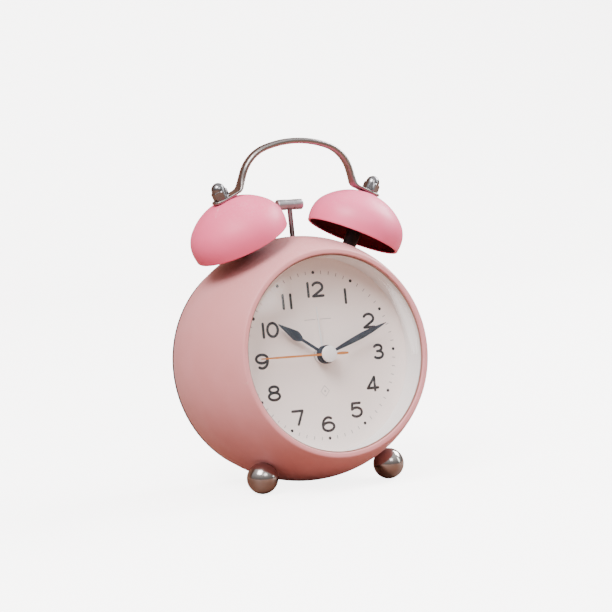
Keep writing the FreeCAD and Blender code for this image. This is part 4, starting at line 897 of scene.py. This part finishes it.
# ------------------------------------------------------------------ bells, nuts and handle
@dataclass
class BellPair:
    """Two pressed bells on studs, their cap nuts, and the handle that is clamped under the nuts."""

    centre: Triple = (22.3, 20.5, 42.1)
    tilt: float = 25.1
    lean: float = 9.9
    height: float = 16.3
    bulge: float = 17.5
    bulge_height: float = 3.05
    shoulder: float = 9.9
    skirt: float = 14.7
    wall: float = 0.7
    tab: float = 1.0
    crown_height: float = 34.8
    crown_arc: float = 39.0
    handle_shoulder: float = 13.9
    bend: float = 3.0
    leg_angle: float = 17.0
    leg_point: Point = (22.8, 19.0)
    bead: float = 0.5
    nut_flats: float = 5.2
    nut_corner: float = 3.0
    nut_collar: float = 3.1
    nut_dome: float = 2.42
    strip: Point = (3.7, 2.1)
    strip_flat: Point = (5.6, 1.0)
    flat_start: float = 15.5
    flat_run: float = 6.5
    tip: float = 2.6
    tab_past_nut: float = 2.2
    curl: float = 2.4

    def plane(self) -> Matrix:
        """Matrix of the leaning plane that holds both bell axes."""
        centre = Matrix.Translation((0.0, self.centre[1], self.centre[2]))
        return CLOCK @ centre @ turned_about("X", self.lean)

    def bell_matrix(self, side: int) -> Matrix:
        """Matrix of one bell, whose own axis is Z and whose rim is at height 0."""
        return (self.plane() @ Matrix.Translation((side * self.centre[0], 0.0, 0.0))
                @ turned_about("Y", side * self.tilt))

    def wall_line(self, inset: float) -> list[Point]:
        """Half section of a bell wall from the rim to the crown, at an inset below its outside."""
        shoulder_x = self.bulge - self.shoulder
        drop = self.height - self.bulge_height
        crown = (shoulder_x ** 2 + drop ** 2 - self.shoulder ** 2) / (2 * (drop - self.shoulder))
        crown_z = self.height - crown
        joint = math.degrees(math.atan2(self.bulge_height - crown_z, shoulder_x))
        rim = -math.degrees(math.asin(self.bulge_height / (self.skirt - inset)))
        skirt_x = self.bulge - self.skirt
        return (arc((skirt_x, self.bulge_height), self.skirt - inset, rim, 0, 8)
                + arc((shoulder_x, self.bulge_height), self.shoulder - inset, 0, joint, 14)[1:]
                + arc((0.0, crown_z), crown - inset, joint, 90, 14)[1:])

    def bell(self, side: int) -> None:
        """Builds one bell with a rolled rim and an inside painted near-black red as painted shade."""
        outer = self.wall_line(0.0)
        inner = self.wall_line(self.wall)
        bead = arc((outer[0][0] - 0.42, 0.12), self.bead, 190, 340, 8)
        outside = [point for point in outer if point[1] > 0.25]
        inside = [point for point in reversed(inner) if point[1] > 0.5]
        profile = outside + inside + bead
        first_inside = len(outside)
        last_inside = len(outside) + len(inside)

        def mark(index: int) -> int:
            """Finish number of a stretch of the profile: 1 on the inside, which takes the painted shade."""
            return 1 if first_inside - 1 <= index <= last_inside else 0

        word = "left" if side < 0 else "right"
        Piece(f"{word}_bell", lathe(profile, 160, "Z", mark=mark), [Finishes.BELL, Finishes.BELL_INSIDE],
              "root", "bell_paint", [f"bell_{word}"], sharp=50).build(self.bell_matrix(side))

    def nuts(self) -> None:
        """Builds the two cap nuts, each with a chamfered hexagon and a dome."""
        base = self.height + self.tab
        collar = base + self.nut_collar

        def hexagon(angle: float) -> float:
            """Reach of the hexagon at an angle."""
            return self.nut_flats / 2 / math.cos((angle + math.pi / 6) % (math.pi / 3) - math.pi / 6)

        profile = ([(0.0, base), (2.6, base), (self.nut_corner, base + 0.25), (self.nut_corner, collar - 0.4),
                    (2.62, collar - 0.12), (self.nut_dome + 0.04, collar)]
                   + arc((0.0, collar + 0.25), self.nut_dome, 0, 90, 14))
        nuts = Shape()
        to_clock = CLOCK.inverted()
        for side in (-1, 1):
            nut = lathe(profile, 96, "Z", closed=False, limit=hexagon)
            nuts.joined(nut.moved(to_clock @ self.bell_matrix(side)))
        Piece("cap_nuts", nuts, [Finishes.NUT], "root", "polished_steel", ["acorn_nuts"], sharp=24).build()

    def handle_line(self) -> list[tuple[Vector, Vector, float]]:
        """Centre line of the handle's right half in the bells' plane.

        Returns:
            Point, direction and distance from the top for each section.
        """
        leg = math.radians(self.leg_angle)
        tilt = math.radians(self.tilt)
        turn = math.pi / 2 - leg
        reach = self.crown_arc - self.handle_shoulder
        crown_z = self.crown_height - self.crown_arc
        drop = crown_z + self.handle_shoulder * math.cos(turn)
        wanted = (self.leg_point[0] + (self.leg_point[1] - drop) * math.tan(leg)
                  - self.handle_shoulder * math.sin(turn))
        start = math.asin(wanted / (reach / math.cos(leg))) - leg
        shoulder = Vector((reach * math.sin(start), crown_z + reach * math.cos(start)))
        stations: list[tuple[Vector, Vector]] = []
        for i in range(20):
            a = start * i / 20
            stations.append((Vector((self.crown_arc * math.sin(a), crown_z + self.crown_arc * math.cos(a))),
                             Vector((math.cos(a), -math.sin(a)))))
        for i in range(17):
            a = start + (turn - start) * i / 16
            spoke = Vector((math.sin(a), math.cos(a))) * self.handle_shoulder
            stations.append((shoulder + spoke, Vector((math.cos(a), -math.sin(a)))))
        leg_way = Vector((math.sin(leg), -math.cos(leg)))
        tab_way = Vector((math.cos(tilt), -math.sin(tilt)))
        middle = self.height + self.tab / 2
        nut = Vector((self.centre[0] + middle * math.sin(tilt), middle * math.cos(tilt)))
        leg_start = stations[-1][0]
        span = nut - leg_start
        length = ((span.x * tab_way.y - span.y * tab_way.x)
                  / (leg_way.x * tab_way.y - leg_way.y * tab_way.x))
        angle = leg_way.angle(tab_way)
        setback = self.bend * math.tan(angle / 2)
        for i in range(1, 9):
            stations.append((leg_start + leg_way * (length - setback) * i / 8, leg_way))
        bend_start = stations[-1][0]
        inward = Vector((leg_way.y, -leg_way.x))
        inward = inward if inward.dot(tab_way) > 0 else -inward
        bend_centre = bend_start + inward * self.bend
        for i in range(1, 9):
            a = angle * i / 8
            spoke = -inward * math.cos(a) + leg_way * math.sin(a)
            way = leg_way * math.cos(a) + inward * math.sin(a)
            stations.append((bend_centre + spoke * self.bend, way))
        bend_end = stations[-1][0]
        for i in range(1, 9):
            reach = (nut - bend_end).length + self.tab_past_nut
            stations.append((bend_end + tab_way * reach * i / 8, tab_way))
        curl_start = stations[-1][0]
        upward = Vector((math.sin(tilt), math.cos(tilt)))
        for i in range(1, 7):
            a = math.radians(38) * i / 6
            along, rise = self.curl * math.sin(a), self.curl * (1 - math.cos(a))
            stations.append((curl_start + tab_way * along + upward * rise,
                             tab_way * math.cos(a) + upward * math.sin(a)))
        distance = 0.0
        line = []
        for index, (point, way) in enumerate(stations):
            if index:
                distance += (point - stations[index - 1][0]).length
            line.append((point, way, distance))
        return line

    def handle(self) -> None:
        """Builds the bent strip: rounded over the top, flat and wider under the nuts."""
        line = self.handle_line()
        total = line[-1][2]
        rings = []
        for point, way, distance in line:
            left = total - distance
            flat = min(1.0, max(0.0, (self.flat_start - left) / self.flat_run))
            flat = flat * flat * (3 - 2 * flat)
            width, thickness = (round_size + (flat_size - round_size) * flat
                                for round_size, flat_size in zip(self.strip, self.strip_flat))
            if left < self.tip:
                width *= math.sqrt(max(0.12, 1 - ((self.tip - left) / 2.8) ** 2))
            power = 0.75 - 0.45 * flat
            across = Vector((way.y, -way.x)) * -1
            ring = []
            for step in range(28):
                a = 2 * math.pi * step / 28
                u = math.copysign(abs(math.cos(a)) ** power, math.cos(a)) * width / 2
                v = math.copysign(abs(math.sin(a)) ** power, math.sin(a)) * thickness / 2
                ring.append(Vector((point.x + across.x * v, u, point.y + across.y * v)))
            rings.append(ring)
        mirrored = [[Vector((-p.x, p.y, p.z)) for p in ring] for ring in reversed(rings[1:])]
        Piece("bent_handle", sweep(mirrored + rings), [Finishes.HANDLE], "root", "polished_steel",
              ["carry_handle"], sharp=40).build(self.plane())

    def build(self) -> None:
        """Builds both bells, the nuts and the handle."""
        for side in (-1, 1):
            self.bell(side)
        self.nuts()
        self.handle()


# ------------------------------------------------------------------ feet and hammer
@dataclass
class Feet:
    """Two polished balls on studs."""

    radius: float = 5.5
    angle: float = 32.0
    depth: float = 18.1
    flat: float = 2.2
    gap: float = 0.09
    case: Case = field(default_factory=Case)

    def point(self, side: int, height: float) -> Vector:
        """Point of a foot's axis at a height above the painted face."""
        lean = math.asin((self.case.widest_depth - self.depth) / self.case.barrel)
        reach = self.case.radius(self.depth) + height * math.cos(lean)
        angle = math.radians(self.angle)
        return Vector((side * reach * math.sin(angle), self.depth - height * math.sin(lean),
                       -reach * math.cos(angle)))

    def build(self) -> None:
        """Builds both balls, with the flat turned where each stud enters."""
        balls = Shape()
        standoff = self.gap + math.sqrt(self.radius ** 2 - self.flat ** 2)
        for side in (-1, 1):
            flat = math.degrees(math.asin(self.flat / self.radius))
            profile = [(0.0, self.gap - standoff)] + arc((0.0, 0.0), self.radius, -90 + flat, 90, 48)
            axis = (self.point(side, 1.0) - self.point(side, 0.0)).normalized()
            turn = Vector((0.0, 0.0, 1.0)).rotation_difference(axis).to_matrix().to_4x4()
            ball = lathe(profile, 96, "Z", closed=False)
            balls.joined(ball.moved(Matrix.Translation(self.point(side, standoff)) @ turn))
        Piece("ball_feet", balls, [Finishes.POLISHED], "root", "polished_steel", ["foot_balls"]).build()


@dataclass
class Hammer:
    """Small cross-head on its rod."""

    depth: float = 24.5
    height: float = 54.9
    radius: float = 1.9
    length: float = 10.0
    groove: float = 0.2
    groove_edges: Point = (1.55, 1.1)

    def build(self) -> None:
        """Builds the head with rounded ends and two grooves."""
        half = self.length / 2
        floor = self.radius - self.groove
        outer, inner = self.groove_edges
        end = rounded([(0.0, half, 0.0), (self.radius, half, 0.35), (self.radius, outer, 0.08),
                       (floor, outer - 0.05, 0.05), (floor, inner + 0.05, 0.05),
                       (self.radius, inner, 0.08)], 3)
        profile = end + [(r, -x) for r, x in reversed(end)]
        head = lathe(profile, 64, "X", closed=False)
        Piece("hammer_cross_head", head.moved(Matrix.Translation((0.0, self.depth, self.height))),
              [Finishes.HEAD], "hammer", "plated_steel", ["hammer_head"]).build()


# ------------------------------------------------------------------ dial
class Glyphs:
    """Numerals drawn as single strokes in a box one unit high, centred on its foot."""

    @staticmethod
    def bowl(centre: Point, wide: float, tall: float, start: float, end: float) -> list[Point]:
        """Part of an ellipse between two angles in degrees."""
        count = max(6, int(abs(end - start) / 9))
        angles = [math.radians(start + (end - start) * i / count) for i in range(count + 1)]
        return [(centre[0] + wide * math.cos(a), centre[1] + tall * math.sin(a)) for a in angles]

    @classmethod
    def strokes(cls, digit: str) -> list[list[Point]]:
        """Strokes of one digit, each as a run of points."""
        bowl = cls.bowl
        if digit == "9":
            return [[(-x, 1.0 - y) for x, y in stroke] for stroke in cls.strokes("6")]
        return {
            "0": [bowl((0.0, 0.5), 0.43, 0.5, 90, 450)],
            "1": [[(0.0, 1.0), (0.0, 0.0)]],
            "2": [bowl((0.0, 0.665), 0.42, 0.335, 152, -38) + [(-0.4, 0.0)], [(-0.42, 0.0), (0.45, 0.0)]],
            "3": [bowl((-0.02, 0.765), 0.34, 0.235, 148, -90) + [(-0.1, 0.53)],
                  [(-0.1, 0.53)] + bowl((-0.02, 0.265), 0.4, 0.265, 90, -138)],
            "4": [[(0.17, 0.0), (0.17, 1.0)], [(0.17, 1.0), (-0.45, 0.19)], [(-0.45, 0.19), (0.44, 0.19)]],
            "5": [[(0.33, 1.0), (-0.32, 1.0)], [(-0.32, 1.0), (-0.38, 0.55)],
                  bowl((-0.02, 0.335), 0.45, 0.335, 139, -142)],
            "6": [bowl((0.01, 0.31), 0.47, 0.31, 158, 518), bowl((0.03, 0.42), 0.49, 0.58, 192, 60)],
            "7": [[(-0.42, 1.0), (0.42, 1.0)], [(0.42, 1.0), (0.0, 0.0)]],
            "8": [bowl((0.0, 0.77), 0.37, 0.23, -90, 270), bowl((0.0, 0.27), 0.45, 0.27, 90, 450)],
        }[digit]


@dataclass
class Dial:
    """What is printed on the dial: numerals, hour dots, minute strokes and a small ornament."""

    face: float = 12.5
    ink_height: float = 0.03
    ink_step: float = 0.004
    numeral_height: float = 4.7
    stroke: float = 0.96
    numeral_circle: float = 23.4
    track: float = 29.1
    dot: float = 0.58
    minute_reach: float = 0.5
    minute_width: float = 0.3
    ornament_height: float = 12.6
    diamond: Point = (1.7, 1.9)
    rule: Point = (1.0, 5.2)

    SHIFTS: ClassVar[dict[str, tuple[float, ...]]] = {"10": (-0.6, 0.17), "11": (-0.31, 0.33),
                                                      "12": (-0.56, 0.24)}
    MOVED: ClassVar[dict[int, Point]] = {1: (0.3, -0.3), 2: (0.0, -1.0), 3: (-0.5, -0.5), 4: (-1.0, 0.0),
                                         6: (-0.1, -0.8), 7: (0.0, -0.7), 8: (0.3, 0.0), 9: (0.1, -0.4),
                                         10: (1.4, -1.5), 11: (0.3, -0.7), 12: (0.0, -0.3)}

    def ribbon(self, line: Sequence[Point], width: float, layer: int = 0) -> Shape:
        """Flat inked stroke of even width along a run of (x, z) points, with round ends.

        Args:
            line: points of the stroke.
            width: width of the stroke.
            layer: how many strokes it lies over, so that crossing strokes stay apart.

        Returns:
            Thin closed shape standing on the dial.
        """
        half = width / 2
        points = [Vector(p) for p in line]
        left: list[Point] = []
        right: list[Point] = []
        for index, point in enumerate(points):
            before = (point - points[index - 1]).normalized() if index else None
            after = (points[index + 1] - point).normalized() if index + 1 < len(points) else None
            way = ((before or after) + (after or before)).normalized()
            reach = half / max(0.45, way.dot(after or before))
            side = Vector((-way.y, way.x)) * reach
            left.append(tuple(point + side))
            right.append(tuple(point - side))
        outline = left + self.round_end(points[-1], points[-2], half) + right[::-1]
        outline += self.round_end(points[0], points[1], half)
        return plate(outline, self.face - self.ink_height - layer * self.ink_step, self.face + 0.01)

    @staticmethod
    def round_end(tip: Vector, before: Vector, half: float) -> list[Point]:
        """Half circle round the end of a stroke, from its left side to its right side."""
        way = (tip - before).normalized()
        side = Vector((-way.y, way.x))
        angles = [math.pi * i / 8 for i in range(1, 8)]
        return [tuple(tip + (side * math.cos(a) + way * math.sin(a)) * half) for a in angles]

    def numeral(self, number: int) -> Shape:
        """All strokes of one hour's numeral at its place on the dial."""
        middle = self.on_track(5 * number, self.numeral_circle) + Vector(self.MOVED.get(number, (0, 0)))
        text = str(number)
        shape = Shape()
        for digit, shift in zip(text, self.SHIFTS.get(text, (0.0,))):
            for layer, line in enumerate(Glyphs.strokes(digit)):
                placed = [(middle.x + (x + shift) * self.numeral_height,
                           middle.y + (y - 0.5) * self.numeral_height) for x, y in line]
                shape.joined(self.ribbon(placed, self.stroke, layer))
        return shape

    def disc(self, centre: Point, radius: float) -> Shape:
        """Small round inked dot."""
        return plate(arc(centre, radius, 0, 360 - 15, 23), self.face - self.ink_height, self.face + 0.01)

    def on_track(self, minute: float, radius: float) -> Vector:
        """Point of the dial at a minute and a radius."""
        angle = math.radians(6 * minute)
        return Vector((radius * math.sin(angle), radius * math.cos(angle)))

    def build(self) -> None:
        """Builds the printed pieces."""
        numerals, dots, marks, ornament = Shape(), Shape(), Shape(), Shape()
        for number in range(1, 13):
            numerals.joined(self.numeral(number))
        for hour in range(12):
            dots.joined(self.disc(tuple(self.on_track(5 * hour, self.track)), self.dot))
        for minute in range(60):
            if minute % 5:
                ends = [tuple(self.on_track(minute, self.track + shift))
                        for shift in (-self.minute_reach, self.minute_reach)]
                marks.joined(self.ribbon(ends, self.minute_width))
        height = self.ornament_height
        for turn in range(4):
            angles = (math.radians(90 * turn), math.radians(90 * turn + 90))
            ends = [(self.diamond[0] * math.cos(a), -height + self.diamond[1] * math.sin(a)) for a in angles]
            ornament.joined(self.ribbon(ends, 0.16))
        ornament.joined(self.disc((0.0, -height), 0.35))
        for side in (-1, 1):
            ornament.joined(self.ribbon([(side * reach, height) for reach in self.rule], 0.2))
        ornament.joined(self.disc((0.0, height), 0.32))
        for name, shape, finish in (("dial_numerals", numerals, Finishes.INK),
                                    ("dial_hour_dots", dots, Finishes.INK),
                                    ("dial_minute_strokes", marks, Finishes.PALE_INK),
                                    ("dial_ornament", ornament, Finishes.PALE_INK)):
            Piece(name, shape, [finish], "root", "slate_hands").build()


# ------------------------------------------------------------------ CAD nodes that keep their mesh
class Dressing:
    """Finishes of the nodes whose CAD mesh is already right."""

    NODES: dict[Finish, Sequence[str]] = {
        Finishes.BLACK: ("rear_cover", "battery_door", "time_setting_knob", "alarm_setting_knob"),
        Finishes.GREY: ("inner_frame", "movement_front_housing", "movement_rear_housing",
                        "movement_middle_plate", "striker_bobbins", "coil_bobbin"),
        Finishes.WHITE: ("alarm_switch", "hand_cap"),
        Finishes.PLATED: ("bell_posts", "foot_screws", "rear_cover_screws", "striker_pivot",
                          "striker_bracket", "battery_contacts", "battery_spring", "centring_spring",
                          "quartz_crystal"),
        Finishes.IRON: ("striker_core", "striker_magnet", "stator"),
        Finishes.FIBRE: ("bell_washers",),
        Finishes.SPACER: ("bell_spacers",),
        Finishes.ROD: ("hammer_arm",),
        Finishes.DIAL: ("dial_plate",),
        Finishes.SLATE: ("hour_hand", "minute_hand"),
        Finishes.COPPER_LACQUER: ("second_hand",),
        Finishes.WHITE_LACQUER: ("alarm_hand",),
        Finishes.NYLON: ("rotor", "intermediate_wheel", "second_wheel", "third_wheel", "centre_wheel",
                         "motion_wheel", "hour_wheel", "alarm_wheel"),
        Finishes.BRASS: ("minute_pipe", "time_setting_arbor", "alarm_setting_arbor"),
        Finishes.COPPER_WIRE: ("coil_winding", "striker_windings"),
        Finishes.BOARD: ("circuit_board",),
        Finishes.JACKET: ("battery_cell",),
    }

    @classmethod
    def build(cls) -> None:
        """Puts each finish into the material slots of its nodes."""
        for finish, names in cls.NODES.items():
            for name in names:
                node = frame["nodes"][name]
                if not node.material_slots:
                    raise ValueError(f"{name} has no material slot")
                for holder in node.material_slots:
                    holder.material = Finishes.get(finish)
                LOG.info("%s: %s", name, finish.name)


# ------------------------------------------------------------------ studio
@dataclass
class Studio:
    """Pale floor, soft lights and the camera."""

    camera_point: Triple = (-354.3, -641.8, -18.2)
    aim_point: Triple = (-8.37, 4.13, 17.17)
    roll: float = 5.92
    lens: float = 124.8
    sensor: float = 36.0
    backdrop: Colour = (4.8, 4.77, 4.74)
    window_distance: float = 1.2

    def camera(self) -> None:
        """Places the camera in the clock's own frame and turns it to its aim."""
        turn = CLOCK.to_3x3().normalized()
        place = CLOCK @ Vector(self.camera_point)
        forward = (CLOCK @ Vector(self.aim_point) - place).normalized()
        dial_up = turn @ Vector((0.0, 0.0, 1.0))
        right = forward.cross(dial_up).normalized()
        up = right.cross(forward)
        basis = Matrix((right, up, -forward)).transposed().to_4x4()
        data = bpy.data.cameras.new("camera")
        data.lens = self.lens
        data.sensor_width = self.sensor
        data.clip_start = 0.01
        data.clip_end = 20.0
        camera = bpy.data.objects.new("camera", data)
        bpy.context.scene.collection.objects.link(camera)
        tilt = Matrix.Rotation(-math.radians(self.roll), 4, "Z")
        camera.matrix_world = Matrix.Translation(place) @ basis @ tilt
        bpy.context.scene.camera = camera

    def sheet(self, name: str, points: Sequence[Vector], faces: Sequence[tuple[int, ...]],
              finish: Finish) -> None:
        """Adds one mesh of the studio, which isn't part of the clock."""
        mesh = bpy.data.meshes.new(name)
        mesh.from_pydata(points, [], faces)
        mesh.shade_smooth()
        sheet = bpy.data.objects.new(name, mesh)
        bpy.context.scene.collection.objects.link(sheet)
        mesh.materials.append(Finishes.get(finish))

    def floor(self) -> None:
        """Builds a pale sheet that runs flat under the clock and curves up behind it."""
        front, flat_end, bend, top, half_width = 1.8, 0.7, 0.6, 2.4, 2.4
        rows = [(-front, 0.0)] + arc((flat_end, bend), bend, -90, 0, 16) + [(flat_end + bend, top)]
        points = [Vector((x, y, z)) for x in (-half_width, half_width) for y, z in rows]
        count = len(rows)
        faces = [(i, i + 1, count + i + 1, count + i) for i in range(count - 1)]
        self.sheet("floor", points, faces, StudioFloor("studio_floor", (0.90, 0.885, 0.875), 0.6, 0.7))

    def window(self, name: str, azimuth: float, elevation: float, size: Point, strength: float,
               colour: Colour) -> None:
        """Adds a softly glowing window that shows in the lens and the polished steel.

        Args:
            name: the sheet's name.
            azimuth: degrees to the right of straight in front.
            elevation: degrees above the ground.
            size: its width and height in metres.
            strength: brightness of its middle.
            colour: its colour.
        """
        a, e = math.radians(azimuth), math.radians(elevation)
        middle = Vector((0.0, 0.0, 0.05))
        way = Vector((math.sin(a) * math.cos(e), -math.cos(a) * math.cos(e), math.sin(e)))
        place = middle + way * self.window_distance
        turn = (middle - place).to_track_quat("-Z", "Y").to_matrix()
        corners = ((-1, -1), (1, -1), (1, 1), (-1, 1))
        points = [place + turn @ Vector((x * size[0] / 2, y * size[1] / 2, 0.0)) for x, y in corners]
        self.sheet(name, points, [(0, 1, 2, 3)], WindowGlow(f"{name}_glow", colour, strength=strength))

    def light(self, name: str, place: Triple, size: Point, power: float,
              colour: Colour) -> None:
        """Adds a rectangular soft light that faces the clock.

        Args:
            name: the light's name.
            place: where it stands, in metres.
            size: its width and height in metres.
            power: watts.
            colour: its colour.
        """
        data = bpy.data.lights.new(name, "AREA")
        data.shape = "RECTANGLE"
        data.size, data.size_y = size
        data.energy = power
        data.color = colour
        lamp = bpy.data.objects.new(name, data)
        bpy.context.scene.collection.objects.link(lamp)
        aim = Vector((0.0, 0.0, 0.06)) - Vector(place)
        lamp.matrix_world = Matrix.Translation(place) @ aim.to_track_quat("-Z", "Y").to_matrix().to_4x4()

    def world(self) -> None:
        """Gives the surroundings a soft light that is brighter overhead than at the horizon."""
        world = bpy.data.worlds.new("studio")
        world.use_nodes = True
        graph = Graph(world.node_tree)
        background = world.node_tree.nodes["Background"]
        way = graph.add("ShaderNodeTexCoord").outputs["Generated"]
        height = graph.ramp(graph.part(way, "Z"), -0.05, 0.9)
        lit = graph.mix(height, (0.30, 0.27, 0.26), (1.15, 1.14, 1.16))
        seen = graph.add("ShaderNodeLightPath").outputs["Is Camera Ray"]
        graph.link(graph.mix(seen, lit, self.backdrop), background.inputs["Color"])
        background.inputs["Strength"].default_value = 1.05
        bpy.context.scene.world = world

    def build(self) -> None:
        """Sets up the whole studio."""
        self.world()
        self.floor()
        self.light("key", (-0.85, -0.6, 1.3), (0.8, 0.8), 41.0, (1.0, 0.98, 0.985))
        self.light("rim", (1.0, 0.15, 0.8), (0.7, 0.5), 24.0, (0.98, 0.98, 1.0))
        self.window("front_window", -2.0, 34.0, (0.66, 0.44), 8.0, (1.0, 1.0, 1.0))
        self.window("side_window", 62.0, 18.0, (0.22, 0.6), 10.0, (0.95, 1.0, 0.98))
        self.camera()


def main() -> None:
    """Builds the clock and its studio in order."""
    Dressing.build()
    for part in (Case(), BellPair(), Feet(), Hammer(), Dial(), Studio()):
        part.build()
        LOG.info("%s done", type(part).__name__)


if __name__ == "__main__":
    main()
